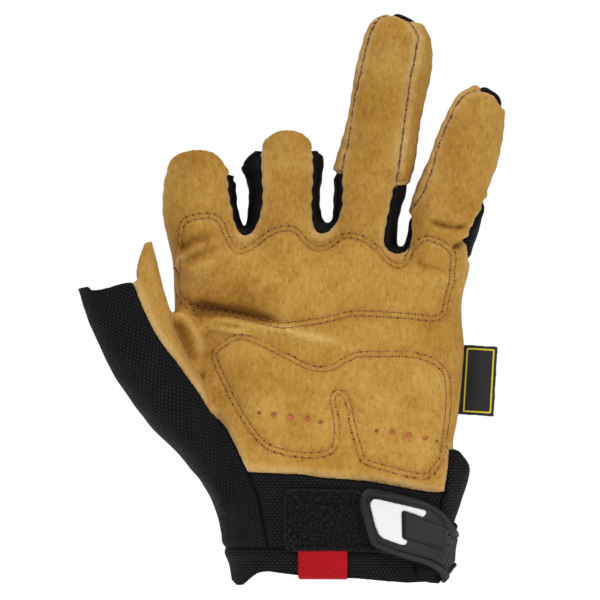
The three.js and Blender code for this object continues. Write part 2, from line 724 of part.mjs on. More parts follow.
// Bare raised plate of the tab, a slanted rectangle
function badgeOutline() {
  const [left, high] = tabPoint([0.455, 0.74]);
  const drop = BADGE_SLOPE * BADGE_LENGTH;
  return [
    [left, high - BADGE_HEIGHT],
    [left + BADGE_LENGTH, high - drop - BADGE_HEIGHT],
    [left + BADGE_LENGTH, high - drop],
    [left, high],
  ];
}

const onPalmSide = palmSide(0);
const onPalmSideWide = palmSide(SEAM_GAP);

// Region behind an outline on the palm side only, or moved outwards for a clearance
function frontRegion(outline, clear = 0) {
  const half = clear > 0 ? onPalmSideWide : onPalmSide;
  return prism(offsetOutline(outline, clear)).intersect(half);
}
function throughRegion(outline, clear = 0) {
  return prism(offsetOutline(outline, clear));
}

// Regions of the pieces, each also with the seam gap round it
function leatherRegion(clear) {
  return frontRegion(leatherOutline(), clear).add(throughRegion(thumbTongueOutline(), clear));
}
const SIDE_PANELS = {
  ring_side_inner: () => sideOutline(ringFinger, 0.33, -1),
  ring_side_outer: () => sideOutline(ringFinger, 0.275, 1),
  little_side: () => sideOutline(little, 0.21, -1),
};
const FOURCHETTES = {
  fourchette_index_middle: () => fourchetteOutline(index, 0.72, middle, 0.82, -0.1),
  fourchette_middle_ring: () => fourchetteOutline(middle, 0.8, ringFinger, 0.33 - 0.004, -0.1),
  fourchette_ring_little: () => fourchetteOutline(ringFinger, 0.275 - 0.004, little, 0.21 - 0.006, -0.12),
};
const leatherCut = leatherRegion(SEAM_GAP);
const sideCuts = Object.values(SIDE_PANELS)
  .map((outline) => frontRegion(outline(), SEAM_GAP))
  .reduce((sum, region) => sum.add(region));
const fourchetteCuts = Object.values(FOURCHETTES)
  .map((outline) => frontRegion(outline(), SEAM_GAP))
  .reduce((sum, region) => sum.add(region));
const thumbCut = throughRegion(thumbPanelOutline(), SEAM_GAP);
const cuffCut = frontRegion(cuffFrontOutline(), SEAM_GAP);
const knitShell = shell(-KNIT_WALL, 0);
const leatherShell = shell(-LEATHER_WALL, 0);

// Palm leather with its two pads and their pores
function makePalmLeather() {
  const pads = [UPPER_PAD, LOWER_PAD].map((rows) => {
    const outline = rows.map(([across, up]) => palmPoint(across, up));
    return prism(outline, -REACH / 2, 0);
  });
  const raised = shell(-LEATHER_WALL / 2, PAD_RISE).intersect(pads[0].add(pads[1]));
  const region = leatherRegion(0);
  let solid = leatherShell.add(raised).intersect(region);
  for (const row of PERFORATION_ROWS) {
    PERFORATION_SIZES.forEach((size, i) => {
      const share = i / (PERFORATION_SIZES.length - 1);
      const across = row.across[0] + share * (row.across[1] - row.across[0]);
      const up = row.up[0] + share * (row.up[1] - row.up[0]);
      const [x, z] = palmPoint(across, up);
      const radius = (size * PERFORATION_WIDTH) / 2;
      const pore = [];
      for (let k = 0; k < PORE_SIDES; k += 1) {
        const turn = (2 * Math.PI * k) / PORE_SIDES;
        pore.push([x + radius * Math.cos(turn), z + radius * Math.sin(turn)]);
      }
      const floor = formAt(PAD_RISE - PERFORATION_DEPTH);
      solid = solid.subtract(prism(pore, -REACH / 2, 0).subtract(floor));
    });
  }
  return mainBody(solid);
}

// Leather side panels of the two full fingers
function makeSidePanel(outline) {
  return mainBody(leatherShell.intersect(frontRegion(outline())).subtract(leatherCut));
}

// Black stretch panels between the fingers
function makeFourchette(outline) {
  const cloth = knitShell.intersect(frontRegion(outline()));
  return mainBody(cloth.subtract(leatherCut).subtract(sideCuts));
}

function makeThumbPanel() {
  return mainBody(knitShell.intersect(throughRegion(thumbPanelOutline())).subtract(leatherCut));
}

function makeCuffFront() {
  const cloth = knitShell.intersect(frontRegion(cuffFrontOutline()));
  return mainBody(cloth.subtract(leatherCut).subtract(thumbCut));
}

function makeBackPanel() {
  const cloth = knitShell.intersect(throughRegion(backOutline()));
  const seams = leatherCut.add(sideCuts).add(fourchetteCuts).add(thumbCut).add(cuffCut);
  return mainBody(cloth.subtract(seams));
}

// Band of all that lies between two heights
function levelBand(low, high) {
  return prism([[-REACH, low], [REACH, low], [REACH, high], [-REACH, high]]);
}

function makeHem() {
  return mainBody(shell(-KNIT_WALL, HEM_RISE).intersect(levelBand(0, HEM_HEIGHT)));
}

// Heights of the layers on the cuff, each a gap above the one below
const PATCH_BASE = HEM_RISE + SEAM_GAP;
const STRAP_BASE = PATCH_BASE + LOOP_PATCH_WALL + SEAM_GAP;
const STRAP_TOP = STRAP_BASE + STRAP_WALL;
const INLAY_BASE = STRAP_TOP + SEAM_GAP;

function makeLoopPatch() {
  const left = -0.238 * CUFF_WIDTH;
  const low = HEM_HEIGHT + SEAM_GAP;
  const high = low + LOOP_PATCH_HEIGHT;
  const outline = [
    [left, low],
    [left + LOOP_PATCH_WIDTH, low],
    [left + LOOP_PATCH_WIDTH, high - LOOP_PATCH_DROP],
    [left + 0.55 * LOOP_PATCH_WIDTH, high - 0.1 * LOOP_PATCH_DROP],
    [left + LOOP_PATCH_CORNER, high],
    [left + 0.2 * LOOP_PATCH_CORNER, high - 0.7 * LOOP_PATCH_CORNER],
  ];
  const pile = shell(PATCH_BASE, PATCH_BASE + LOOP_PATCH_WALL);
  return mainBody(pile.intersect(prism(outline, -REACH / 2, 0)));
}

// Closure strap: moulded tab in front, then round the outer side to the back
function makeClosureTab() {
  const outline = tabOutline(0);
  const inner = tabOutline(-TAB_RIM_WIDTH);
  const front = prism(outline, -REACH / 2, 0);
  const bandOutline = [
    [CUFF_WIDTH / 2 - STRAP_BACK_REACH, 0], [CUFF_WIDTH, 0],
    [CUFF_WIDTH, STRAP_HEIGHT], [CUFF_WIDTH / 2 - STRAP_BACK_REACH, STRAP_HEIGHT],
  ];
  const raised = shell(STRAP_BASE, STRAP_TOP).intersect(front.add(prism(bandOutline, 0, STRAP_WALL)));
  const lowBand = prism(bandOutline, -STRAP_WALL, REACH / 2);
  const sole = raised.add(shell(PATCH_BASE, PATCH_BASE + STRAP_WALL).intersect(lowBand));
  const rimArea = front.subtract(prism(inner, -REACH / 2, 0));
  const crest = shell(STRAP_TOP - SEAM_GAP, STRAP_TOP + TAB_RIM_RISE).intersect(rimArea);
  let solid = sole.add(crest);
  const ribBand = shell(STRAP_TOP - SEAM_GAP, STRAP_TOP + RIB_RISE);
  for (let i = 0; i < RIB_COUNT; i += 1) {
    const [x, low] = tabPoint([0.89, 0.12]);
    const left = x + i * RIB_PITCH;
    const high = low + 0.6 * STRAP_HEIGHT;
    const lean = 0.1 * STRAP_HEIGHT;
    const rib = prism([
      [left, low], [left + RIB_WIDTH, low], [left + RIB_WIDTH + lean, high], [left + lean, high],
    ], -REACH / 2, 0);
    solid = solid.add(ribBand.intersect(rib));
  }
  return mainBody(solid);
}

// Outline of the tab, moved outwards by a distance
function tabOutline(distance) {
  return offsetOutline(TAB_OUTLINE.map(tabPoint), distance);
}

function makeTabInsert() {
  const area = prism(INSERT_OUTLINE.map(tabPoint), -REACH / 2, 0);
  const rim = prism(tabOutline(-TAB_RIM_WIDTH - SEAM_GAP), -REACH / 2, 0);
  const badge = prism(offsetOutline(badgeOutline(), SEAM_GAP), -REACH / 2, 0);
  const inlay = shell(INLAY_BASE, INLAY_BASE + INSERT_WALL);
  return mainBody(inlay.intersect(area).intersect(rim).subtract(badge));
}

function makeTabBadge() {
  const area = prism(badgeOutline(), -REACH / 2, 0);
  const rim = prism(tabOutline(-TAB_RIM_WIDTH - SEAM_GAP), -REACH / 2, 0);
  return mainBody(shell(INLAY_BASE, INLAY_BASE + BADGE_WALL).intersect(area).intersect(rim));
}

function makePullTab() {
  const left = -0.176 * CUFF_WIDTH;
  const high = HEM_HEIGHT;
  const low = high - PULL_TAB_HEIGHT;
  const outline = [
    [left, low], [left + PULL_TAB_WIDTH, low],
    [left + PULL_TAB_WIDTH, high], [left, high],
  ];
  const webbing = shell(PATCH_BASE, PATCH_BASE + PULL_TAB_WALL);
  return mainBody(webbing.intersect(prism(outline, -REACH / 2, 0)));
}

// Folded cloth label sewn into the outer side seam, standing straight out from it
function makeSideLabel() {
  const [x, z] = palmPoint(0.432, 0.547);
  const sink = LABEL_TILT * LABEL_WIDTH;
  const drift = LABEL_TILT * LABEL_HEIGHT;
  const outline = [
    [x - LABEL_TUCK, z],
    [x + LABEL_WIDTH, z - sink],
    [x + LABEL_WIDTH - drift, z - LABEL_HEIGHT],
    [x - LABEL_TUCK, z - LABEL_HEIGHT + sink],
  ];
  const plate = prism(outline, SEAM_BEHIND - LABEL_WALL / 2, SEAM_BEHIND + LABEL_WALL / 2);
  return mainBody(plate.subtract(formAt(SEAM_GAP)));
}

// Finishes of the real materials
const SUEDE = new THREE.MeshStandardMaterial({ color: 0xc4943f, roughness: 0.95, metalness: 0 });
const KNIT = new THREE.MeshStandardMaterial({ color: 0x1c1b20, roughness: 0.9, metalness: 0 });
const STRETCH = new THREE.MeshStandardMaterial({ color: 0x141416, roughness: 0.7, metalness: 0 });
const PILE = new THREE.MeshStandardMaterial({ color: 0x1a191c, roughness: 1, metalness: 0 });
const RUBBER = new THREE.MeshStandardMaterial({ color: 0x2a2930, roughness: 0.5, metalness: 0 });
const WHITE = new THREE.MeshStandardMaterial({ color: 0xe6e4e6, roughness: 0.5, metalness: 0 });
const RED = new THREE.MeshStandardMaterial({ color: 0xc81e1e, roughness: 0.85, metalness: 0 });
const LABEL = new THREE.MeshStandardMaterial({ color: 0x121214, roughness: 0.8, metalness: 0 });

// Named mesh of a solid
function toMesh(name, solid, material) {
  const { vertProperties, triVerts, numProp } = solid.getMesh();
  const geometry = new THREE.BufferGeometry();
  const positions = [];
  for (let i = 0; i < vertProperties.length; i += numProp) {
    positions.push(vertProperties[i], vertProperties[i + 1], vertProperties[i + 2]);
  }
  geometry.setAttribute('position', new THREE.Float32BufferAttribute(positions, 3));
  geometry.setIndex([...triVerts]);
  geometry.computeVertexNormals();
  const mesh = new THREE.Mesh(geometry, material);
  mesh.name = name;
  return mesh;
}

const glove = new THREE.Group();
glove.name = 'mechanic_glove';
glove.add(toMesh('palm_leather', makePalmLeather(), SUEDE));
for (const [name, outline] of Object.entries(SIDE_PANELS)) {
  glove.add(toMesh(name, makeSidePanel(outline), SUEDE));
}
for (const [name, outline] of Object.entries(FOURCHETTES)) {
  glove.add(toMesh(name, makeFourchette(outline), STRETCH));
}
glove.add(toMesh('thumb_panel', makeThumbPanel(), KNIT));
glove.add(toMesh('back_panel', makeBackPanel(), KNIT));
glove.add(toMesh('cuff_front', makeCuffFront(), KNIT));
glove.add(toMesh('hem_binding', makeHem(), KNIT));
glove.add(toMesh('loop_patch', makeLoopPatch(), PILE));
glove.add(toMesh('closure_tab', makeClosureTab(), RUBBER));
glove.add(toMesh('tab_insert', makeTabInsert(), WHITE));
glove.add(toMesh('tab_badge', makeTabBadge(), RUBBER));
glove.add(toMesh('pull_tab', makePullTab(), RED));
glove.add(toMesh('side_label', makeSideLabel(), LABEL));

export default glove;
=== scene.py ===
"""Mechanic glove for the left hand, worn form, palm towards the camera.

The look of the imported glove: suede palm, knit thumb, cuff and back, stretch gussets, and the
moulded closure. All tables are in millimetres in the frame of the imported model.
"""
import math

import bmesh
import bpy
import numpy as np
from mathutils import Matrix, Vector, kdtree, noise
from mathutils.bvhtree import BVHTree


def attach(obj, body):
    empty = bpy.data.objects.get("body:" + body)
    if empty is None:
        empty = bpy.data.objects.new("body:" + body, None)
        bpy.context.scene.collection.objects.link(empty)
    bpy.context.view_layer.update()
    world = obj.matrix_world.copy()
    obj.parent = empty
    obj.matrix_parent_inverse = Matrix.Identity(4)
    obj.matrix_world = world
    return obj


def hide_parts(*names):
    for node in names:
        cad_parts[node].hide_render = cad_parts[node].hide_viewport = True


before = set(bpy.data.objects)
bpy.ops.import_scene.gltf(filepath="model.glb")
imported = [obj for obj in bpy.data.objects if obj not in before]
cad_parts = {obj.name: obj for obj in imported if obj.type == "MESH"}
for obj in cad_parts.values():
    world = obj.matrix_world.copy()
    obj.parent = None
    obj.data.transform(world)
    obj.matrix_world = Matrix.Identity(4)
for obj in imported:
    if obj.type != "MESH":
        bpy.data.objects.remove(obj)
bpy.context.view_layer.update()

bl_info = {
    "name": "Mechanic glove",
    "version": (1, 0, 0),
    "blender": (4, 5, 0),
    "location": "View3D > Sidebar > Glove",
    "description": "Builds the looks of a suede and knit work glove around its packed solids",
    "category": "Add Mesh",
}

MM = 0.001

# ---- Outlines of the panels, across and up ----

THUMB_SEAM = [
    (-77.2, 111), (-76.2, 109), (-75, 105.8), (-73.4, 102), (-71.5, 97.7), (-69, 92.9),
    (-67.1, 89.8), (-64.3, 85.7), (-61.6, 82.6), (-58, 77.9), (-54.2, 72.7), (-50.9, 68),
    (-47.6, 62.9), (-44.6, 59.3), (-41.8, 55.5), (-39.7, 51.3), (-37.7, 47.2), (-35.9, 43.3),
    (-34, 39.4),
]
WRIST_EDGE = [
    (-33.9, 39.4), (-23.6, 39), (-12.9, 38.6), (-6.5, 37.5), (1.9, 36.9), (10.3, 36.3),
    (17.9, 35), (27.4, 33.2), (35.3, 31.8), (38.4, 31.7), (40.9, 31.8), (41.5, 36.6),
    (42.3, 41.4), (43.1, 48.3),
]
LITTLE_BASE = [
    (50.1, 119.9), (50.1, 122.2), (49.8, 124.8), (49.1, 126.8), (50.4, 128.6), (50.7, 131.1),
    (51.7, 132.7), (52.9, 135.5), (55, 139), (55.8, 142),
]
LITTLE_TIP = [
    (62.6, 177.8), (61.4, 179.8), (59.4, 181.9), (57.1, 183.5), (54.5, 184),
]
LITTLE_SEAM = [
    (54.5, 184), (51.8, 183.9), (49.5, 182.9), (47.8, 181.6), (46, 179.6), (44.3, 176.9),
    (42.6, 172.9), (40.8, 169.1), (39.1, 164.7), (37.7, 160.9), (36.7, 156.6), (35.6, 152.8),
    (34.5, 150.1), (33.4, 146.9), (31.4, 143.1), (28.7, 139.9), (28.2, 138.2), (27.9, 136.2),
]
RING_LITTLE_CROTCH = [
    (27.9, 136.2), (28, 132.7), (27.9, 128.9), (27, 125.1), (25.5, 123.3), (23.5, 122.3),
    (22, 122.5), (20, 123.3), (18.5, 125), (18.1, 127.3), (18.6, 131.5), (20.1, 138.5),
    (22, 147.4),
]
RING_SEAM_OUTER = [
    (22.3, 147.7), (22.9, 150.9), (23.5, 155.2), (24.1, 160.5), (24.8, 166.3), (25.5, 171.8),
    (26.3, 177.2), (27, 181.9), (27.4, 185.4), (28, 189.7), (29.2, 194.4), (29.8, 198.4),
    (30.3, 201.1), (30.8, 203.1), (30.2, 205.4), (28.6, 208.1), (26.7, 210.4),
]
RING_TIP = [
    (26.7, 210.4), (24.3, 211.8), (22.4, 212.5), (20.7, 212.5),
]
RING_SEAM_INNER = [
    (20.7, 212.5), (17.5, 211.8), (15.2, 210.1), (13.5, 207.7), (12.3, 204.6), (11, 200.5),
    (10.3, 197), (9.4, 192.9), (8.2, 187.7), (6.9, 182.7), (6.1, 178.2), (5.3, 172.1),
    (4.2, 164.2), (3, 160.2), (2.3, 156.7), (1.9, 153.8), (1.6, 152),
]
MIDDLE_RING_CROTCH = [
    (1.7, 147.4), (1.7, 142.9), (1.1, 138.5), (-1.1, 133.4), (-3.4, 130.3), (-6.1, 129.6),
    (-7.8, 130.5), (-8.7, 132.6), (-8.9, 134.9),
]
MIDDLE_TONGUE_RIGHT = [
    (-8.9, 134.9), (-9, 140.6), (-8.9, 146.3), (-8.6, 153.1), (-8.7, 157.7), (-9.3, 161.9),
]
MIDDLE_TONGUE_TOP = [
    (-9.3, 161.9), (-10.8, 165.5), (-13.3, 167.6), (-16, 168.5), (-18.6, 168.7), (-21.1, 168.6),
    (-23.2, 168), (-25.3, 166.8), (-27, 165.3), (-28.5, 162.6), (-29.3, 159.6),
]
MIDDLE_TONGUE_LEFT = [
    (-29.3, 159.6), (-29, 156.6), (-28.9, 153.1), (-28.6, 149.3), (-28.5, 145.9), (-28.6, 142.1),
    (-28.9, 138.7), (-29.5, 136.4), (-30.4, 134.1), (-31.4, 131.9), (-32.7, 130.2),
    (-34.4, 129.2), (-35.5, 129.2),
]
INDEX_TONGUE_RIGHT = [
    (-35.5, 129.2), (-36.7, 130.2), (-37.6, 131.9), (-38.8, 135.7), (-39.5, 139.5),
    (-40.3, 142.9), (-40.7, 145.9), (-40.9, 148.6), (-41, 150.9),
]
INDEX_TONGUE_TOP = [
    (-41, 150.9), (-41.4, 152.8), (-42.3, 154.7), (-43.7, 157.3), (-45.2, 159.1), (-47.1, 160.4),
    (-49.8, 161), (-52.4, 161.2), (-55.1, 161.1), (-57.4, 160.7), (-59.7, 160), (-61.6, 158.8),
    (-63.1, 157.3), (-64.1, 155), (-64.4, 152.8), (-65.2, 150.9), (-66, 149.7),
]
UPPER_PAD = [
    (-61.6, 109.1), (-60.4, 105.6), (-58.9, 103.7), (-57.6, 102.2), (-54.8, 100.7),
    (-49.8, 100.4), (-45.2, 99.3), (-39, 97.9), (-34.3, 96.7), (-29.3, 95.4), (-25.1, 94.6),
    (-21.5, 93.9), (-18.4, 94), (-12.9, 94.8), (-7.2, 95.5), (-1.6, 96.7), (3.8, 98.1),
    (9.1, 98.5), (17.9, 98.1), (26.1, 97.6), (32.2, 96.9), (35.3, 96.6), (38.1, 96.8), (40, 97.6),
    (41.3, 99.3), (42, 101.9), (42.6, 105.4), (43.5, 108.5), (44.5, 111.9), (44.6, 115.4),
    (44.8, 118.1), (45, 120.9), (44, 123.5), (42.2, 125.5), (40, 127), (37.6, 128), (35.3, 128.7),
    (33.4, 128.7), (31.7, 128.1), (30, 127), (27.4, 123.7), (26.4, 121.6), (25.3, 119.4),
    (23.9, 118.4), (22.4, 118.5), (19.5, 120.5), (18, 122.2), (16.5, 124.2), (14.3, 125.7),
    (12.2, 127.5), (9.7, 128.7), (6.8, 129.6), (3.8, 129.8), (0.8, 129), (-1.9, 127),
    (-4.9, 125.2), (-8, 125.1), (-11.7, 127.7), (-14.1, 130.7), (-17.1, 132.4), (-19.9, 132.5),
    (-23.8, 131.6), (-27.7, 129.5), (-30.8, 127), (-33.9, 124.9), (-36.5, 123.9), (-38.2, 124.5),
    (-40.3, 127.8), (-41.7, 130.9), (-42.6, 133.2), (-44.4, 135.6), (-47.1, 137.1),
    (-49.6, 137.3), (-52.5, 137.1), (-55.3, 136.5), (-58.1, 135.3), (-59.7, 133.2), (-60, 130.9),
    (-60.6, 127), (-61, 122.7), (-61.4, 118.2), (-61.7, 113.6),
]
LOWER_PAD = [
    (-47.6, 84), (-46.9, 85.5), (-45.4, 87), (-42, 89.5), (-39.3, 91), (-36.7, 91.4),
    (-33.2, 90.9), (-28, 88.8), (-23.6, 86.6), (-20.1, 84.7), (-16.6, 83.1), (-13.6, 81.4),
    (-10.6, 80.1), (-7.1, 79.3), (-3.5, 79.5), (-1.1, 80.3), (1.5, 82), (4, 83.2), (6.4, 84.4),
    (9, 84.9), (14.8, 84.9), (23.6, 85), (27.5, 84.8), (30.6, 84.3), (33.3, 83.5), (35.9, 82.6),
    (38.4, 81.2), (40.3, 79.5), (42, 77.2), (42.9, 73.5), (43.3, 68.6), (43.1, 63.8),
    (42.6, 58.9), (42, 54.1), (41.5, 49.8), (41, 45.9), (40, 43.2), (38.1, 40.9), (36.2, 38.6),
    (34.4, 37.2), (31.8, 36.9), (27.2, 37.6), (22.2, 38.9), (16.8, 40.4), (11.5, 42), (9, 43.8),
    (7.8, 46.4), (7, 49.4), (6.2, 52.1), (4.9, 57.2), (3.9, 62.6), (2.9, 66.1), (1.7, 68.2),
    (0.3, 68.9), (-0.7, 67.8), (-0.6, 64.8), (0.5, 59.9), (0.9, 55.1), (0.6, 51.2), (-0.2, 48.5),
    (-1.8, 46.8), (-4, 45.6), (-9.7, 44.8), (-15.4, 45.2), (-21, 46.2), (-25.9, 47.9),
    (-29.5, 50.7), (-33.1, 54.7), (-36.7, 60.2), (-40.9, 67.7), (-44.6, 75.7), (-46.9, 80.8),
]
THUMB_CUT = [
    (-105.3, 108.7), (-97.1, 108.7), (-95.4, 109.1), (-93.9, 107.8), (-90.7, 108.1), (-86.9, 109),
    (-84, 109.9), (-81.1, 110.7), (-79.4, 111), (-77.2, 111),
]
TONGUE_EDGE = [
    (-67.6, 126.5), (-70.4, 126.5), (-71.4, 126.5), (-72.4, 124.7), (-73.8, 121.2),
    (-74.9, 117.2), (-75.2, 114), (-75.2, 112.2),
]
CUFF_SEAM = [
    (-34, 39.3), (-32.3, 35), (-30, 30.5), (-28.5, 21.7), (-26.5, 11.6), (-26.2, 10.3),
]
HEM_EDGE = [
    (-60, -0.4), (-42.2, -0.4), (-40.3, -1.5), (-38.1, -3.6), (-36.5, -3.4), (-35.3, -2.3),
    (-33.4, -0.6), (-31.2, 0.8), (-28.9, 1.5), (-26.2, 1.8), (-20.9, 1.1), (-14.6, 0.4),
    (1.1, -0.6), (8, -0.8), (18.1, -1.8), (26.6, -2.5), (33.7, -2.2), (38.4, -3), (41.4, -0.4),
    (45.2, 0), (60, 0),
]
PORES = [
    (-29.2, 61.5, 1.6), (-23.9, 60.6, 2.3), (-17.7, 59.6, 2.9), (-11.3, 59.1, 2.3),
    (-6.3, 57.9, 1.6), (14.6, 54.6, 1.5), (20.3, 54.2, 2.2), (26.4, 52.9, 2.7),
    (32.5, 52.1, 2), (36.8, 51, 1.4),
]

# ---- Silhouettes of the hand form, from the top down ----

RING_LEFT = [
    (22.4, 213), (20.7, 213), (18.7, 213), (15.8, 211.8), (13.5, 209.8), (11.7, 207.7),
    (10.3, 204.6), (9.1, 200.5), (8.2, 196.4), (7.2, 192.3), (6.7, 190), (6.2, 185.1),
    (5.5, 180.7), (4.8, 176.3), (3.7, 171.8), (2.1, 165.7), (1, 161.9), (-0.2, 158.1),
    (-1, 155.4), (-1.1, 151.6), (-1.1, 146.3), (-1.3, 141), (-1.5, 136.4), (-3.4, 130.3),
    (-5.7, 123.5), (-7.2, 115.9),
]
RING_RIGHT = [
    (22.4, 213), (24.3, 212.6), (26.2, 212), (28.3, 210.8), (30.9, 209.5), (32.9, 207.7),
    (34.7, 205.1), (35.7, 201.6), (36.1, 198.1), (36, 194.4), (35.4, 190), (34.7, 186.2),
    (33.5, 181.9), (32.4, 176.9), (31, 169.2), (30.2, 161.6), (29.5, 156.4), (28.4, 152.6),
    (27.4, 150), (26.6, 147.1), (25.9, 144), (24.5, 139.8), (23.6, 136.4), (23, 130.3),
    (22.4, 123.5), (23, 115.9),
]
LITTLE_LEFT = [
    (54.7, 186), (54.2, 185.9), (51.8, 185.8), (49.5, 184.6), (47.2, 183.3), (44.6, 180.4),
    (42.6, 176.9), (40.8, 172.9), (38.3, 167.9), (37, 163.8), (35.6, 159.2), (33.5, 154.2),
    (32.1, 151.3), (30.3, 147), (28.8, 143), (27.9, 139.4), (27.4, 135.7), (27.3, 132.6),
    (27, 130.3), (26, 125.8), (24.6, 121.2), (22.5, 115.1),
]
LITTLE_RIGHT = [
    (54.7, 186), (56.2, 185.4), (57.6, 184.8), (59.4, 183.5), (61.3, 181.4), (62.6, 179.2),
    (63.3, 176.7), (63.5, 173.3), (63.2, 168.7), (62.7, 164.9), (61.9, 160.7), (60.8, 156.8),
    (59.5, 153.1), (58.3, 150.1), (56.9, 146.6), (56.4, 143.3), (55.7, 139.3), (54.9, 136.2),
    (54.4, 132.7), (53.4, 129.2), (52.6, 126.3), (51.7, 123.9), (50.7, 121.6), (49.8, 117.4),
    (48.4, 112.3), (46.9, 106), (45.5, 95),
]
MIDDLE_LEFT = [
    (-28.5, 172.9), (-29.3, 165.3), (-30.4, 161.5), (-34.2, 158.5), (-36.6, 155.8),
    (-36.1, 153.3), (-35, 151.6), (-33.8, 148.6), (-33.3, 144.8), (-33.7, 139.8), (-34.3, 135.7),
    (-34.7, 131.1), (-35.7, 125), (-36.5, 118.9),
]
MIDDLE_RIGHT = [
    (-9.5, 172.9), (-9.1, 165.3), (-8, 161.5), (-6.1, 160.1), (-4.9, 157.9), (-5.4, 154.7),
    (-5.7, 149.3), (-6.5, 146), (-6.5, 141), (-6.2, 137.2), (-4.8, 133.2), (-4.2, 128.1),
    (-3.4, 121.2),
]
INDEX_LEFT = [
    (-62.7, 169.1), (-63.5, 161.5), (-65, 154.7), (-65.6, 149.3), (-65.9, 145.5), (-66, 141),
    (-65.8, 137.2), (-65.4, 133.4), (-64.6, 130.3), (-64, 127.3), (-63.1, 123.5), (-62.3, 119.7),
    (-61.6, 115.1),
]
INDEX_RIGHT = [
    (-41.4, 169.1), (-40.3, 161.5), (-39.3, 154.7), (-38.7, 150.1), (-38.3, 145.5), (-37.9, 141),
    (-37, 136.4), (-35.5, 131.9), (-34.6, 127.3), (-33.4, 121.2),
]
THUMB_LEFT = [
    (-103, 123.5), (-100.3, 115.1), (-97.8, 107.9), (-96.6, 103.4), (-93.9, 95.8), (-91.7, 90.8),
    (-88.9, 84.4), (-84, 74.5), (-80.2, 69), (-76.4, 63.8), (-73.2, 59.7), (-69.9, 55.5),
    (-66.5, 52.1), (-63.2, 49), (-59.4, 44.8), (-55.6, 40.3), (-51, 35.2), (-47.6, 30),
    (-45, 22),
]
THUMB_RIGHT = [
    (-73.7, 133), (-70.7, 127.7), (-69.8, 123.9), (-68.3, 118.3), (-67, 113.1), (-65.7, 107.8),
    (-64.4, 103.5), (-63, 100), (-61.3, 95.4), (-59.3, 90.1), (-56.6, 84.7), (-52.1, 74.9),
    (-47.5, 65), (-42.9, 55.1), (-38.4, 45.2),
]
PALM_LEFT = [
    (-64.2, 130.3), (-63.8, 127.3), (-62.6, 123.5), (-61.9, 118.9), (-61.6, 115.1),
    (-61.2, 111.3), (-61.4, 107.5), (-61.7, 103.7), (-61.2, 100.3), (-59.7, 95.4), (-56.6, 87.8),
]
PALM_RIGHT = [
    (39.1, 142.5), (43.7, 134.1), (47.5, 128.1), (49.2, 124.6), (50.1, 121.2), (49.8, 118.9),
    (49.1, 116.7), (48.2, 112.3), (47.3, 107.9), (47.1, 101.1), (47.5, 93.1), (48, 88.9),
    (47.9, 81.3), (47.1, 71.8), (46, 61.9), (44.5, 54), (43.3, 49.5),
]
CUFF_LEFT = [
    (-55.9, 40.7), (-51.7, 35.7), (-48.4, 30), (-46.7, 25.5), (-45.6, 22.4), (-44.3, 16.7),
    (-43.2, 11), (-42, 6.8), (-40.7, 3.4), (-40.1, -1.5), (-39.9, -9.5),
]
CUFF_RIGHT = [
    (43.9, 49.5), (46.2, 46.9), (48.6, 45), (50.1, 42.6), (50.7, 40.1), (50.2, 36.6), (49.2, 33.1),
    (47.7, 29.3), (46.2, 25.1), (44.7, 20.9), (43.4, 15.2), (42.6, 9.5), (42.2, 3.8), (42, -1.9),
    (42, -9.5),
]

# The cuff's left edge, led on into the palm, and the squareness of its cross section
CUFF_SIDE = [(x, z) for x, z in CUFF_LEFT if z < 42] + [(-55, 46)]
CUFF_POWER = 2.3

# Half depths of the tubes by height: towards the front and towards the back
RING_DEPTH = [
    (94, 12.5, 12.5), (114, 14.6, 14.6), (135, 13.3, 13.3), (165, 12.8, 12.8), (191, 12, 12),
    (199, 11.2, 11.2), (205.3, 9.9, 9.9), (208.9, 8.1, 8.1), (211.6, 5.5, 5.5), (213.4, 2.1, 2.1),
]
LITTLE_DEPTH = [
    (95, 12.5, 12.5), (116, 14, 14), (132, 13.3, 13.3), (150, 12.5, 12.5), (168, 11.7, 11.7),
    (174.5, 10.7, 10.7), (179.5, 8.8, 8.8), (183.6, 6, 6), (186.4, 2.1, 2.1),
]
MIDDLE_DEPTH = [
    (94, 13, 13), (117, 14.6, 14.6), (135, 13.5, 13.5), (162, 12.5, 12.5), (177, 11.7, 11.7),
]
INDEX_DEPTH = [(95, 13, 13), (116, 14.6, 14.6), (129, 14, 14), (143, 13, 13), (171, 12, 12)]
PALM_DEPTH = [
    (40.7, 26.4, 24), (52.9, 24, 18), (62.3, 22, 16.8), (75.5, 20.4, 17.6), (89.6, 19.6, 18.4),
    (113, 16.4, 17.2), (120.6, 13.6, 14.4), (125.8, 9.6, 10),
]
CUFF_DEPTH = [
    (-10, 28, 28), (0, 28, 28), (22.3, 28, 27.4), (28.4, 27.4, 26.3), (34.6, 26.9, 25.2),
    (40.7, 26.4, 24), (46, 25, 20.5),
]
THUMB_DEPTH = [
    (20.9, 15.1, 15.1), (34.1, 17.4, 17.4), (46.2, 18.6, 18.6), (58.3, 18.3, 18.3),
    (71, 17.4, 17.4), (83, 16.2, 16.2), (95.2, 15.2, 15.2), (107.3, 14.5, 14.5), (132, 14.5, 14.5),
]
THUMB_AXIS = [
    (20.9, 0), (34.1, -2.2), (46.2, -5.4), (58.3, -9), (71, -12.6), (83, -14.9), (95.2, -16.7),
    (107.3, -18), (132, -19.8),
]
PALM_SLANT = [(40, 0), (89.6, 0), (113, 0.051), (120.6, 0.085), (125.8, 0.12)]
KNUCKLE_HEIGHT = 101.8
TIP_HEIGHT = 213.4
CURL_REACH = 16
SEAM_BEHIND = 5
HEM_HEIGHT = 10.4

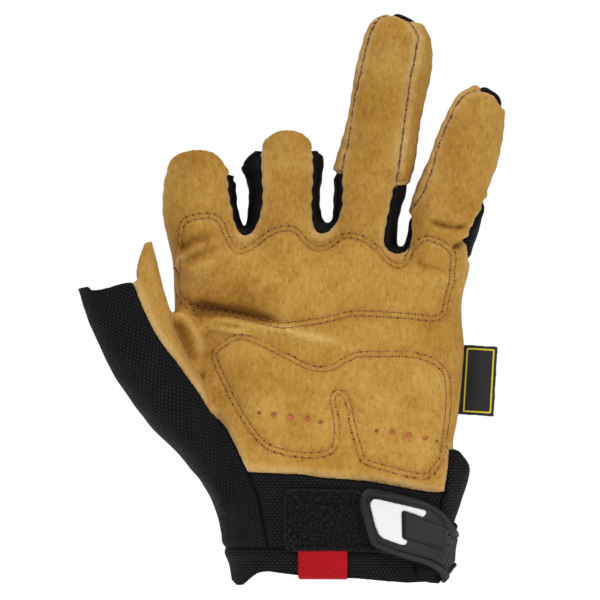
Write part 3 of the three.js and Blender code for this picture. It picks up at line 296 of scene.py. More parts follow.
# Folds of the palm side: height, half width and the line each one follows
FOLDS = [
    (-0.8, 1.7, [(-61.9, 98.8), (-60, 94.6), (-58.5, 91.6), (-55.9, 85.5), (-53.6, 80.6),
                 (-52.1, 77.5)]),
    (0.8, 1.8, [(-62.7, 100.3), (-60.8, 99.2), (-58.9, 97.7), (-56.2, 95), (-54.7, 93.1),
                (-52.8, 89.3), (-51.1, 86.3), (-48.6, 83.2)]),
    (1.25, 2, [(-52.8, 93.1), (-49.8, 95), (-45.6, 96.5), (-40.3, 96.5), (-32.3, 95.8),
               (-25.5, 94.6), (-19.4, 93.1), (-10.6, 90.4), (-2.7, 88.9), (3, 87), (10.6, 85.9)]),
    (0.8, 1.2, [(-53.2, 92.7), (-49.8, 94), (-45.6, 93.9), (-40.3, 92.7), (-35, 92),
                (-30.8, 90.4)]),
    (-0.6, 1.1, [(-51.7, 93.9), (-47.5, 95), (-41.4, 95), (-34.6, 93.9)]),
    (-1.7, 2.3, [(-58.1, 103.4), (-54.7, 102), (-49.8, 101.1), (-44.5, 100.3), (-37.6, 99.2),
                 (-30.8, 97.7), (-23.6, 95.8), (-17.9, 95)]),
    (-1.0, 6.5, [(-56.6, 107.5), (-46.7, 105.6), (-38.4, 104.1), (-28.5, 101.5), (-18.6, 99.6)]),
    (1.2, 1.8, [(-61.2, 113.6), (-60.6, 116.3), (-58.9, 119.3), (-54.7, 123.5), (-50.9, 125.8),
                (-46.7, 127.3)]),
    (-1.2, 2.6, [(-59.3, 121.6), (-55.9, 124.5), (-52.4, 126.5), (-49, 128.1), (-46, 128.8)]),
    (0.8, 2.4, [(-58.1, 114.8), (-51.7, 117), (-45.6, 119.7), (-40.3, 121.2), (-34.6, 122)]),
    (-0.8, 2.4, [(-58.1, 117.4), (-53.6, 120.3), (-49, 122.5), (-44.5, 123.9)]),
    (-0.95, 1.1, [(33.8, 134.1), (37.4, 133.4), (41.8, 132.2), (45.6, 132), (52.1, 132.6)]),
    (-0.8, 1.2, [(29.6, 119.3), (33.1, 117), (37.4, 116.3), (42.2, 115.5)]),
    (-1.2, 1, [(43.7, 123.9), (46.7, 125.4), (49.2, 126.9), (50.9, 127.7)]),
]

FOLD_DEPTH = 1.7
PAD_CROWN = 2.1
PORE_DEPTH = 0.85
SEAM_TUCK = 0.6
PUCKER_DEPTH = 0.3
SKIN_GRID = 0.8
SKIN_SMOOTHING = 9
RING_CORNERS = 72
RING_STEP = 2.0
ON_LINE = 0.12


# ---- Colours ----

def hex_colour(text):
    """Linear colour of an sRGB hex value."""
    channels = [int(text[i:i + 2], 16) / 255 for i in (1, 3, 5)]
    linear = [c / 12.92 if c <= 0.04045 else ((c + 0.055) / 1.055) ** 2.4 for c in channels]
    return (*linear, 1.0)


# ---- Curves in the front view ----

def curve_through(points, step=1.0, closed=False):
    """Evenly spaced points on a smooth curve through the given ones."""
    places = np.array(points, float)
    if closed:
        places = np.vstack([places[-1:], places, places[:2]])
    else:
        places = np.vstack([2 * places[0] - places[1], places, 2 * places[-1] - places[-2]])
    found = []
    for a, b, c, d in zip(places, places[1:], places[2:], places[3:]):
        count = max(1, int(np.linalg.norm(c - b) / step + 0.5))
        for t in np.arange(count) / count:
            bend = (c - a) * t + (2 * a - 5 * b + 4 * c - d) * t ** 2
            found.append(b + 0.5 * (bend + (3 * b - a - 3 * c + d) * t ** 3))
    if not closed:
        found.append(places[-2])
    return np.array(found)


def distance_to_line(points, line):
    """Distance of each point from an open line, and where along it the nearest place is."""
    best = np.full(len(points), np.inf)
    along = np.zeros(len(points))
    lengths = np.linalg.norm(np.diff(line, axis=0), axis=1)
    total, passed = lengths.sum(), 0.0
    for a, b, length in zip(line, line[1:], lengths):
        run = b - a
        t = np.clip(((points - a) @ run) / max(length ** 2, 1e-12), 0, 1)
        gap = np.linalg.norm(points - a - t[:, None] * run, axis=1)
        nearer = gap < best
        best[nearer] = gap[nearer]
        along[nearer] = (passed + t[nearer] * length) / total
        passed += length
    return best, along


def inside_outline(points, outline):
    """True for each point inside a closed outline."""
    inside = np.zeros(len(points), bool)
    x, z = points[:, 0], points[:, 1]
    for (ax, az), (bx, bz) in zip(outline, np.roll(outline, -1, axis=0)):
        if az != bz:
            crosses = (az > z) != (bz > z)
            inside ^= crosses & (x < (bx - ax) * (z - az) / (bz - az) + ax)
    return inside


def outline_distance(points, outline):
    """Signed distance of each point from a closed outline, positive inside."""
    gap, _ = distance_to_line(points, np.vstack([outline, outline[:1]]))
    return np.where(inside_outline(points, outline), gap, -gap)


def by_height(table, z, column=1):
    """Value of a table's column at a height, between its rows."""
    rows = sorted(table, key=lambda row: row[0])
    return np.interp(z, [row[0] for row in rows], [row[column] for row in rows])


def silhouette_at(points, z):
    """Where a silhouette is across at a height."""
    rows = sorted(points, key=lambda point: point[1])
    return np.interp(z, [p[1] for p in rows], [p[0] for p in rows])


def curl_at(z):
    """How far the fingers bend towards the palm side at a height."""
    share = np.maximum(0, (z - KNUCKLE_HEIGHT) / (TIP_HEIGHT - KNUCKLE_HEIGHT))
    return -CURL_REACH * share ** 1.5


# ---- Regions of the panels in the front view ----

LEATHER_OUTLINE = np.array(
    THUMB_SEAM[:-1] + WRIST_EDGE + [(95, 50), (95, 119.9)] + LITTLE_BASE
    + [(95, 142), (95, 177.8)] + LITTLE_TIP[:-1] + LITTLE_SEAM[:-1] + RING_LITTLE_CROTCH
    + RING_SEAM_OUTER[:-1] + RING_TIP[:-1] + RING_SEAM_INNER + MIDDLE_RING_CROTCH[:-1]
    + MIDDLE_TONGUE_RIGHT[:-1] + MIDDLE_TONGUE_TOP[:-1] + MIDDLE_TONGUE_LEFT[:-1]
    + INDEX_TONGUE_RIGHT[:-1] + INDEX_TONGUE_TOP + [(-67.6, 149.7)] + TONGUE_EDGE
)
TONGUE_OUTLINE = np.array(
    THUMB_SEAM[:5] + [(-66, 97.7), (-62.6, 102.3), (-64.6, 110)] + TONGUE_EDGE
)
THUMB_OUTLINE = np.array(
    THUMB_SEAM + CUFF_SEAM + [(-26.2, HEM_HEIGHT), (-120, HEM_HEIGHT), (-120, 108.7)] + THUMB_CUT
)
CUFF_OUTLINE = np.array([
    (-37.8, 41.4), (-37.8, HEM_HEIGHT), (37.8, HEM_HEIGHT), (39.5, 28.8), (40.8, 31.7), (33, 41.6),
])
RING_INNER_OUTLINE = np.array([
    (1.6, 152), (-1.2, 152.8), (-2, 154), (-3.3, 154.3), (-3.3, 212), (9, 216), (20.7, 213.6),
    (20.7, 212.5), (24, 200), (12, 152),
])
RING_OUTER_OUTLINE = np.array([
    (22.3, 147.7), (26, 148.1), (28.7, 148), (33, 160), (35, 170), (38.6, 180), (42, 190),
    (42, 206), (30.9, 209.6), (26.7, 210.4), (24, 200), (18, 148),
])
LITTLE_INNER_OUTLINE = np.array([
    (27.9, 136.2), (26.6, 137.2), (26.2, 138), (27.8, 145), (29.4, 150), (33, 160), (35, 170),
    (38.6, 180), (42, 188), (54.5, 188), (54.5, 184), (50, 170), (36, 138),
])
INDEX_MIDDLE_OUTLINE = np.array([
    (-44, 118), (-44, 151.2), (-40, 151.2), (-38.6, 149.8), (-37.6, 149), (-37.2, 152),
    (-36.9, 155.2), (-31.2, 159.3), (-29.2, 160.6), (-27, 160.6), (-27, 118),
])
MIDDLE_RING_OUTLINE = np.array([
    (-12, 118), (-12, 160.5), (-6.1, 160.3), (-4.4, 158), (-3.4, 154.1), (3, 152), (3, 118),
])
RING_LITTLE_OUTLINE = np.array([
    (18, 114), (18, 147.8), (28.5, 148.2), (26, 139), (26, 138), (29, 136), (34, 136), (34, 114),
])
BACK_OUTLINE = np.array([
    (-120, HEM_HEIGHT), (-120, 100), (-63, 100.3), (-67.6, 112), (-72, 148.2), (-60, 148.8),
    (-45, 151), (-37.6, 151.8), (-36.5, 156), (-31, 161), (-5, 161), (-2.5, 157), (-5, 216),
    (50, 216), (50, 192), (80, 192), (80, HEM_HEIGHT),
])
UPPER_PAD_LINE = curve_through(UPPER_PAD, 1.2, closed=True)
LOWER_PAD_LINE = curve_through(LOWER_PAD, 1.2, closed=True)
PAD_ROWS_APART = 1.9

# Panels in the order in which they claim a place: name, outline, whether the back counts too
PANELS = [
    ("leather", LEATHER_OUTLINE, False),
    ("leather", TONGUE_OUTLINE, True),
    ("ring_side_inner", RING_INNER_OUTLINE, False),
    ("ring_side_outer", RING_OUTER_OUTLINE, False),
    ("little_side", LITTLE_INNER_OUTLINE, False),
    ("fourchette_index_middle", INDEX_MIDDLE_OUTLINE, False),
    ("fourchette_middle_ring", MIDDLE_RING_OUTLINE, False),
    ("fourchette_ring_little", RING_LITTLE_OUTLINE, False),
    ("thumb_panel", THUMB_OUTLINE, True),
    ("cuff_front", CUFF_OUTLINE, False),
    ("back_panel", BACK_OUTLINE, True),
]
HEM = "hem_binding"
PANEL_CODES = {name: code for code, name in enumerate(
    [HEM] + list(dict.fromkeys(name for name, _, _ in PANELS)), 1)}


# ---- The hand form ----

def tube_rings(left, right, depth, low, high, axis=None, slant=None, power=2.2, tip=0.0):
    """Level rings of one part of the hand: edges across, axis, depths, height, slant, power."""
    heights = list(np.arange(low, high - tip, RING_STEP))
    if tip:
        heights += list(np.linspace(high - tip, high, 12))
    else:
        heights.append(high)
    rings = []
    for z in heights:
        middle = by_height(axis, z) if axis else float(curl_at(z))
        rings.append((
            silhouette_at(left, z), silhouette_at(right, z), middle,
            by_height(depth, z, 1), by_height(depth, z, 2), z,
            by_height(slant, z) if slant else 0.0, power,
        ))
    return rings


def web_rings(left, right, top, half=10.9, middle=0.0):
    """Rings of the web that closes the crotch between two fingers."""
    return [
        (left, right, middle + float(curl_at(z)), half - sink, half - sink, z, 0.0, 3.0)
        for z, sink in [(top - 22, 0), (top - 3, 0), (top - 1.2, 0.8), (top, 3)]
    ]


def hand_bodies():
    """Rings of every body that the skin is drawn over."""
    return [
        tube_rings(CUFF_SIDE, CUFF_RIGHT, CUFF_DEPTH, -10, 46, axis=[(0, 0)], power=CUFF_POWER),
        tube_rings(
            PALM_LEFT + [(-59, 82), (-57.3, 75.5), (-55.9, 62.3), (-54.7, 52.9), (-52.1, 40.7)],
            [p for p in CUFF_RIGHT if 36 < p[1] < 50] + PALM_RIGHT, PALM_DEPTH, 38, 125.8,
            slant=PALM_SLANT, power=2.4),
        tube_rings(INDEX_LEFT, INDEX_RIGHT, INDEX_DEPTH, 95, 169),
        tube_rings(MIDDLE_LEFT, MIDDLE_RIGHT, MIDDLE_DEPTH, 94, 172.5),
        tube_rings(RING_LEFT, RING_RIGHT, RING_DEPTH, 94, 212.8, tip=9),
        tube_rings(LITTLE_LEFT, LITTLE_RIGHT, LITTLE_DEPTH, 95, 185.7, tip=9),
        tube_rings(THUMB_LEFT, THUMB_RIGHT, THUMB_DEPTH, 24, 132, axis=THUMB_AXIS),
        web_rings(-44, -27, 130.9),
        web_rings(-14, 6, 133.2),
        web_rings(16, 36, 124.2),
        web_rings(-70, -50, 99.5, 8.5, -9.5),
    ]


def superellipse_place(ring, turn):
    """Point of a ring at a turn round it."""
    left, right, middle, front, back, z, slant, power = ring
    across = math.copysign(abs(math.cos(turn)) ** (2 / power), math.cos(turn))
    deep = math.copysign(abs(math.sin(turn)) ** (2 / power), math.sin(turn))
    x = (left + right) / 2 + (right - left) / 2 * across
    return Vector((x, middle + (front if deep < 0 else back) * deep, z - slant * x))


def add_tube(bm, rings):
    """Closed body through a stack of rings."""
    below = None
    for ring in rings:
        made = bmesh.ops.create_circle(bm, cap_ends=False, radius=1, segments=RING_CORNERS)
        for vert in made["verts"]:
            vert.co = superellipse_place(ring, math.atan2(vert.co.y, vert.co.x))
        edges = list({edge for vert in made["verts"] for edge in vert.link_edges})
        if below is None:
            bmesh.ops.edgeloop_fill(bm, edges=edges)
        else:
            bmesh.ops.bridge_loops(bm, edges=below + edges)
        below = edges
    bmesh.ops.edgeloop_fill(bm, edges=below)


def remeshed(bm, grid):
    """One closed skin drawn over overlapping closed bodies, as a new bmesh."""
    mesh = bpy.data.meshes.new("form")
    bm.to_mesh(mesh)
    bm.free()
    body = bpy.data.objects.new("form", mesh)
    bpy.context.scene.collection.objects.link(body)
    cover = body.modifiers.new("cover", "REMESH")
    cover.mode = "VOXEL"
    cover.voxel_size = grid
    shown = body.evaluated_get(bpy.context.evaluated_depsgraph_get())
    skin = bmesh.new()
    skin.from_mesh(bpy.data.meshes.new_from_object(shown))
    bpy.data.objects.remove(body)
    return skin


def places_of(bm):
    """Places of the vertices as rows of numbers, with the indices brought up to date."""
    bm.verts.index_update()
    bm.verts.ensure_lookup_table()
    return np.array([vert.co[:] for vert in bm.verts])


def cut_along(bm, field):
    """Adds edges where a field of the vertices' places crosses zero."""
    value = field(places_of(bm))
    value[np.abs(value) < ON_LINE] = 0
    verts = list(bm.verts)
    chosen = [verts[i] for i in np.flatnonzero(value == 0)]
    edges = list(bm.edges)
    ends = np.array([(e.verts[0].index, e.verts[1].index) for e in edges])
    first, second = value[ends[:, 0]], value[ends[:, 1]]
    crossing = (first * second < 0) & np.isfinite(first) & np.isfinite(second)
    for i in np.flatnonzero(crossing):
        share = first[i] / (first[i] - second[i])
        chosen.append(bmesh.utils.edge_split(edges[i], edges[i].verts[0], share)[1])
    bmesh.ops.connect_verts(bm, verts=chosen)


def seam_field(places):
    """Distance in front of the seam that runs round the edge of the hand."""
    return curl_at(places[:, 2]) + SEAM_BEHIND - places[:, 1]


def outline_field(outline, through):
    """Field of a panel's outline; far from zero at the back, unless it goes through."""
    def field(places):
        flat = places[:, [0, 2]]
        value = outline_distance(flat, outline)
        if not through:
            value = np.where(seam_field(places) < -ON_LINE, -np.inf, value)
        return value
    return field


def label_faces(bm):
    """Code of the panel that each face belongs to, 0 for what is open."""
    middles = np.array([face.calc_center_median()[:] for face in bm.faces])
    flat = middles[:, [0, 2]]
    front = seam_field(middles) > 0
    codes = np.zeros(len(middles), int)
    for name, outline, through in PANELS:
        claim = inside_outline(flat, outline) & (front | through) & (codes == 0)
        codes[claim] = PANEL_CODES[name]
    high = middles[:, 2]
    codes[high < HEM_HEIGHT] = PANEL_CODES[HEM]
    codes[high < hem_edge_at(middles[:, 0])] = 0
    return codes


def hem_edge_at(x):
    """Height of the wavy lower edge of the hem."""
    return np.interp(x, [p[0] for p in HEM_EDGE], [p[1] for p in HEM_EDGE])


def soft_step(value, low, high):
    """Smooth rise from 0 at low to 1 at high."""
    t = np.clip((value - low) / (high - low), 0, 1)
    return t * t * (3 - 2 * t)


def noise_at(places, size, seed=0.0):
    """Smooth noise from -1 to 1 with bumps of about a size."""
    shift = Vector((seed, seed * 0.37, -seed * 0.71))
    return np.array([noise.noise(Vector(p) / size + shift) for p in places])


def pad_relief(flat, line):
    """Height of a stitched pad: sunk stitch rows, a ridge between them and a full middle."""
    depth = outline_distance(flat, line)
    inner = depth - PAD_ROWS_APART
    grooves = -0.35 * (np.exp(-(depth / 0.75) ** 2) + np.exp(-(inner / 0.75) ** 2))
    outside = -0.25 * np.exp(-(depth / 3) ** 2) * (depth < 0)
    full = np.where(inner > 0, PAD_CROWN * (1 - np.exp(-np.maximum(inner, 0) / 3.4)), 0)
    return grooves + outside + full


def fold_relief(flat):
    """Height of the folds and creases of the palm side."""
    height = np.zeros(len(flat))
    for rise, half, line in FOLDS:
        gap, along = distance_to_line(flat, curve_through(line, 1.5))
        ends = soft_step(along, 0, 0.18) * soft_step(1 - along, 0, 0.3)
        height += FOLD_DEPTH * rise * np.exp(-(gap / half) ** 2) * ends
    return height


def pore_gap(flat):
    """Distance from the nearest pore's middle, as a share of its radius."""
    return np.min([
        np.hypot(flat[:, 0] - x, flat[:, 1] - z) / (width / 2) for x, z, width in PORES], axis=0)


def pore_relief(flat):
    """Depth of the round holes punched in the lower pad, each with a raised rim."""
    gap = pore_gap(flat)
    return 0.16 * np.exp(-((gap - 1.4) / 0.3) ** 2) - PORE_DEPTH * (1 - soft_step(gap, 0.75, 1.15))


def refine_near(bm, spots, reach, cuts):
    """Finer faces round some spots of the front."""
    near = []
    for face in bm.faces:
        middle = face.calc_center_median()
        if middle.y < 0 and any(math.hypot(middle.x - x, middle.z - z) < reach for x, z in spots):
            near.append(face)
    edges = list({edge for face in near for edge in face.edges})
    bmesh.ops.subdivide_edges(bm, edges=edges, cuts=cuts, use_grid_fill=True)


SKIN = {}


def hand_skin():
    """The skin of the glove with its relief, its faces coded by panel, made once."""
    if "bm" in SKIN:
        return SKIN["bm"]
    bodies = bmesh.new()
    for rings in hand_bodies():
        add_tube(bodies, rings)
    bmesh.ops.recalc_face_normals(bodies, faces=bodies.faces)
    bm = remeshed(bodies, SKIN_GRID * (1))
    for _ in range(SKIN_SMOOTHING):
        bmesh.ops.smooth_vert(
            bm, verts=bm.verts, factor=0.5, use_axis_x=True, use_axis_y=True, use_axis_z=True)
    refine_near(bm, [pore[:2] for pore in PORES], 3.2, 2)
    cut_along(bm, seam_field)
    for _, outline, through in PANELS:
        cut_along(bm, outline_field(outline, through))
    for line in (UPPER_PAD_LINE, LOWER_PAD_LINE):
        for inset in (0, PAD_ROWS_APART):
            field = outline_field(line, False)
            cut_along(bm, lambda places: field(places) - inset)
    cut_along(bm, lambda places: places[:, 2] - HEM_HEIGHT)
    cut_along(bm, lambda places: places[:, 2] - hem_edge_at(places[:, 0]))
    codes = label_faces(bm)
    layer = bm.faces.layers.int.new("panel")
    for face, code in zip(bm.faces, codes):
        face[layer] = int(code)
    raise_relief(bm, layer)
    SKIN["bm"] = bm
    SKIN["tree"] = BVHTree.FromBMesh(bm)
    return bm


def raise_relief(bm, layer):
    """Moves the skin along its normals: seams, pads, pores, folds and unevenness."""
    bm.normal_update()
    places = places_of(bm)
    normals = np.array([vert.normal[:] for vert in bm.verts])
    flat = places[:, [0, 2]]
    own = [{face[layer] for face in vert.link_faces} - {0} for vert in bm.verts]
    seams = [i for i, codes in enumerate(own) if len(codes) > 1]
    tree = kdtree.KDTree(len(seams))
    for n, i in enumerate(seams):
        tree.insert(places[i], n)
    tree.balance()
    gap = np.array([tree.find(place)[2] for place in places])
    leather = np.array([PANEL_CODES["leather"] in codes or bool(
        codes & {PANEL_CODES[n] for n in ("ring_side_inner", "ring_side_outer", "little_side")}
    ) for codes in own])
    front = (seam_field(places) > 0) & (normals[:, 1] < 0.2)
    facing = soft_step(-normals[:, 1], 0.0, 0.45) * front
    height = -SEAM_TUCK * np.exp(-(gap / 0.9) ** 2) + 0.28 * np.exp(-((gap - 2.6) / 1.5) ** 2)
    height += np.where(leather, 0.2, 0.0) * soft_step(gap, 0.3, 1.5)
    pads = np.maximum(pad_relief(flat, UPPER_PAD_LINE), -0.4) + pad_relief(flat, LOWER_PAD_LINE)
    folds = facing * fold_relief(flat)
    height += facing * (pads + pore_relief(flat)) + folds
    height += 0.35 * noise_at(places, 13) + 0.14 * noise_at(places, 5, 7.3)
    puckers = np.sin(places[:, 2] * 1.15 + 1.5 * noise_at(places, 9, 3.1))
    fingers = soft_step(places[:, 2], 128, 140)
    height += PUCKER_DEPTH * puckers * np.exp(-(gap / 3.2) ** 2) * fingers
    moved = places + normals * height[:, None]
    near = bm.verts.layers.float.new("seam_gap")
    # lift and fold keep heights that also colour the suede: painted shade in hollows and fold
    # valleys, painted highlight on fold ridges.
    lift = bm.verts.layers.float.new("lift")
    pore = bm.verts.layers.float.new("pore")
    fold = bm.verts.layers.float.new("fold")
    holes = (1 - soft_step(pore_gap(flat), 0.8, 1.0)) * facing
    rows = zip(bm.verts, moved, gap, height, holes, folds)
    for vert, place, distance, rise, hole, bend in rows:
        vert.co = place
        vert[near] = distance
        vert[lift] = rise
        vert[pore] = hole
        vert[fold] = bend
    bm.normal_update()


# ---- Finished pieces ----

def add_piece(bm, name, material, nodes=()):
    """Object of a finished mesh in metres, which rides on the hand and stands for its solids."""
    bm.transform(Matrix.Scale(MM, 4))
    mesh = bpy.data.meshes.new(name)
    bm.to_mesh(mesh)
    bm.free()
    for polygon in mesh.polygons:
        polygon.use_smooth = True
    mesh.materials.append(material)
    piece = bpy.data.objects.new(name, mesh)
    bpy.context.scene.collection.objects.link(piece)
    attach(piece, "root")
    if nodes:
        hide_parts(*nodes)
    return piece


def panel_mesh(*names):
    """The faces of some panels, cut out of the skin."""
    bm = hand_skin().copy()
    layer = bm.faces.layers.int["panel"]
    codes = {PANEL_CODES[name] for name in names}
    others = [face for face in bm.faces if face[layer] not in codes]
    bmesh.ops.delete(bm, geom=others, context="FACES")
    return bm


def add_wall(piece, thickness):
    """Gives a sheet its thickness inwards."""
    wall = piece.modifiers.new("wall", "SOLIDIFY")
    wall.thickness = thickness
    wall.offset = -1
    wall.use_even_offset = False
    return piece


# ---- Closure, patch, tab and label ----

TAB = [
    (11.3, 32.9), (9.3, 31.4), (8.1, 28.7), (8.4, 25.6), (9.8, 21.3), (11, 16.8), (12.3, 13.1),
    (13.7, 11.4), (16.4, 10), (21.5, 8), (28.3, 6), (35.1, 4.1), (37.2, 3.2), (40.4, 1.3),
    (42, -0.6), (42.3, -2.4), (43.6, -2.6), (44.8, -1.3), (45.4, 1), (47.6, 2.2), (51, 2.8),
    (52.5, 4.5), (52.6, 10), (52, 14.5), (49.8, 16.4), (46.4, 18.2), (44.5, 20.9), (42, 24.1),
    (38.5, 26.6), (32.8, 29), (24.6, 30.9), (15.1, 32.7),
]
INLAY = [
    (13.9, 29.3), (12.2, 27.4), (12.8, 24.7), (14.2, 19.5), (15.7, 15.8), (17.5, 14.3),
    (21.5, 12.9), (24.9, 11.8), (26.1, 12.1), (27, 13.6), (24.7, 14.6), (24.5, 23.9),
    (24.9, 24.8), (32.7, 22.4), (34.2, 24.3), (33.6, 25.2), (28.3, 26.3), (21.5, 27.7),
    (16.1, 28.9),
]
BADGE = [(25.4, 24.3), (41.3, 19.2), (41, 9.2), (25.4, 15)]
DOTS = [(42.5, 16.6), (43.9, 15.3), (42.4, 12.5)]
RIB_EDGE = [(41, 7), (45.5, 14.9)]
RIB_RUN = np.array([0.87, -0.49])
RIB_PITCH = 2.3
LOOP_PATCH = [
    (-20.1, 30.4), (-19.2, 32.3), (-17.7, 33.1), (-5, 33), (9.7, 32.3), (18.2, 31.5),
    (35.3, 20.9), (35.3, 5.7), (25, 7.2), (13.5, 9.1), (0, 9.4), (-14.1, 9.5), (-17.5, 9.5),
    (-19.8, 11), (-20.2, 20),
]
LABEL = [(48.4, 87.5), (61.1, 86.7), (59.6, 60.2), (46.8, 61)]
PULL_TAB = (-14.8, 3.8, -1.2, 10.2)
STRAP_BAND = (30, 0.3, 20)
STRAP_END = 8
FIRM_EDGE = 1.0
RIB_GROOVE, DOT_DEPTH, TAB_END_DROP = 1.1, 0.7, 1.7
TAB_BASE, TAB_TOP, TAB_RIM = 2.2, 4.3, 5.3
INLAY_TOP, BADGE_TOP = 4.75, 5.0

BAND_STEP = 0.5
MEAN_CUFF_RADIUS = 0.037
BEYOND_SILHOUETTE = 2.4
BAND = {}


def band_table():
    """Places on the cuff by height and by length round it from its front middle, made once."""
    if BAND:
        return BAND
    heights = np.arange(-8, 47, 1.0)
    turns = np.linspace(-math.pi, math.pi, 1441)
    lengths = np.arange(-70, 180, BAND_STEP)
    rows = []
    for z in heights:
        shape = (silhouette_at(CUFF_SIDE, z), silhouette_at(CUFF_RIGHT, z), 0,
                 by_height(CUFF_DEPTH, z, 1), by_height(CUFF_DEPTH, z, 2), z, 0, CUFF_POWER)
        points = np.array([superellipse_place(shape, turn)[:] for turn in turns])
        passed = np.concatenate([[0], np.cumsum(np.linalg.norm(np.diff(points, axis=0), axis=1))])
        front = turns < 0
        start = np.interp(0, points[front, 0], passed[front])
        around = np.mod(lengths + start, passed[-1])
        rows.append(np.stack([np.interp(around, passed, points[:, k]) for k in range(3)], axis=1))
    table = np.array(rows)
    across = np.gradient(table, axis=1)
    up = np.gradient(table, axis=0)
    normal = np.cross(across, up)
    normal /= np.linalg.norm(normal, axis=2, keepdims=True)
    BAND.update(heights=heights, lengths=lengths, places=table, normals=normal)
    return BAND


def band_value(kind, s, z):
    """Place or normal of the cuff at lengths round it and at heights."""
    band = band_table()
    rows, columns = band[kind].shape[:2]
    i = np.clip(z - band["heights"][0], 0, rows - 1.001)
    j = np.clip((s - band["lengths"][0]) / BAND_STEP, 0, columns - 1.001)
    i0, j0 = i.astype(int), j.astype(int)
    fi, fj = (i - i0)[:, None], (j - j0)[:, None]
    table = band[kind]
    low = table[i0, j0] * (1 - fj) + table[i0, j0 + 1] * fj
    high = table[i0 + 1, j0] * (1 - fj) + table[i0 + 1, j0 + 1] * fj
    return low * (1 - fi) + high * fi


def round_the_cuff(points, height):
    """Front view points turned into lengths round the cuff, at a height above it."""
    lengths = np.arange(-60, 62, 0.5)
    found = []
    for x, z in points:
        level = np.full(len(lengths), z)
        seen = (band_value("places", lengths, level)
                + height * band_value("normals", lengths, level))[:, 0]
        widest = int(np.argmax(seen))
        narrowest = int(np.argmin(seen))
        reach = slice(narrowest, widest + 1)
        beyond = max(0.0, x - seen[widest]) * BEYOND_SILHOUETTE
        found.append((np.interp(x, seen[reach], lengths[reach]) + beyond, z))
    return np.array(found)


def cut_plate(outline, step):
    """Flat sheet of even faces in the front plane, cut to an outline."""
    low, high = outline.min(axis=0) - step, outline.max(axis=0) + step
    bm = bmesh.new()
    bmesh.ops.create_grid(bm, x_segments=math.ceil((high[0] - low[0]) / step),
                          y_segments=math.ceil((high[1] - low[1]) / step), size=0.5)
    bmesh.ops.scale(bm, verts=bm.verts, vec=(high[0] - low[0], high[1] - low[1], 1))
    bmesh.ops.rotate(bm, verts=bm.verts, matrix=Matrix.Rotation(math.pi / 2, 3, "X"))
    middle = (low + high) / 2
    bmesh.ops.translate(bm, verts=bm.verts, vec=(middle[0], 0, middle[1]))
    cut_along(bm, lambda places: outline_distance(places[:, [0, 2]], outline))
    centres = np.array([face.calc_center_median()[:] for face in bm.faces])
    keep = inside_outline(centres[:, [0, 2]], outline)
    bmesh.ops.delete(
        bm, geom=[face for face, kept in zip(bm.faces, keep) if not kept], context="FACES")
    return bm


def thick_plate(outline, step, top, base):
    """Plate with a level base and a shaped top; its height lies towards the front."""
    bm = cut_plate(outline, step)
    gap = bm.verts.layers.float.new("edge_gap")
    raised = bmesh.ops.extrude_face_region(bm, geom=list(bm.faces))["geom"]
    upper = [g for g in raised if isinstance(g, bmesh.types.BMVert)]
    flat = np.array([(vert.co.x, vert.co.z) for vert in upper])
    depth = outline_distance(flat, outline)
    height = top(flat, depth)
    for vert in bm.verts:
        vert.co.y = -base
    for vert, rise, distance in zip(upper, height, depth):
        vert.co.y = -rise
        vert[gap] = distance
    bmesh.ops.recalc_face_normals(bm, faces=bm.faces)
    return bm


def wrap_on_cuff(bm):
    """Bends a flat plate round the cuff and keeps its flat places as its UV map."""
    flat_map(bm)
    places = places_of(bm)
    s, height, z = places[:, 0], -places[:, 1], places[:, 2]
    wrapped = band_value("places", s, z) + height[:, None] * band_value("normals", s, z)
    for vert, place in zip(bm.verts, wrapped):
        vert.co = place
    return bm


def flat_map(bm):
    """UV map in metres from the places of a flat plate."""
    layer = bm.loops.layers.uv.new("cloth")
    for face in bm.faces:
        for loop in face.loops:
            loop[layer].uv = (loop.vert.co.x * MM, loop.vert.co.z * MM)


def rounded_edge(depth, radius, top, base):
    """Height that rolls off to the base within a radius of the edge."""
    t = np.clip(1 - depth / radius, 0, 1)
    return base + (top - base) * np.sqrt(1 - t * t * 0.999)


def tab_top(flat, depth):
    """Rounded outer rim, groove, raised inner band, finger ribs and three dots."""
    first = (round_the_cuff(RIB_EDGE, TAB_TOP) @ RIB_RUN).mean()
    passed = flat @ RIB_RUN - first
    bead = 1 - soft_step(passed, -2, 1) * soft_step(flat[:, 1], 4, 9)
    softer = FIRM_EDGE + 2 * soft_step(passed, 0, 6)
    height = rounded_edge(depth, softer, TAB_TOP + (TAB_RIM - TAB_TOP) * bead, TAB_BASE)
    height -= (TAB_RIM - TAB_TOP) * soft_step(depth, 1.9, 2.7) * bead
    height -= 0.45 * np.exp(-((depth - 2.9) / 0.35) ** 2)
    height -= TAB_END_DROP * soft_step(passed, 0, 9)
    off = np.abs(passed / RIB_PITCH - np.round(passed / RIB_PITCH)) * RIB_PITCH
    ribbed = soft_step(passed, -0.4, -0.2)
    height -= RIB_GROOVE * np.exp(-(off / 0.42) ** 2) * ribbed * soft_step(depth, 0, 0.8)
    for x, z in round_the_cuff(DOTS, TAB_TOP):
        height -= DOT_DEPTH * np.exp(-(np.hypot(flat[:, 0] - x, flat[:, 1] - z) / 0.5) ** 2)
    return height


def loop_top(flat, depth):
    """Pile of loops with a pressed line inside its edge."""
    pile = noise_at(np.column_stack([flat[:, 0], flat[:, 1] * 0 + 3, flat[:, 1]]), 0.9, 2.2)
    coarse = noise_at(np.column_stack([flat[:, 0], flat[:, 1] * 0 + 9, flat[:, 1]]), 3.5, 5.1)
    height = rounded_edge(depth, 0.9, 2.05, 0.8) + 0.28 * pile + 0.12 * coarse
    inner = np.minimum(np.minimum(flat[:, 0] + 14.8, 27.2 - flat[:, 1]), flat[:, 1] - 11.9)
    return height - 0.5 * np.exp(-(inner / 0.5) ** 2) * (depth > 1) + 0.15 * (inner > 0.5)


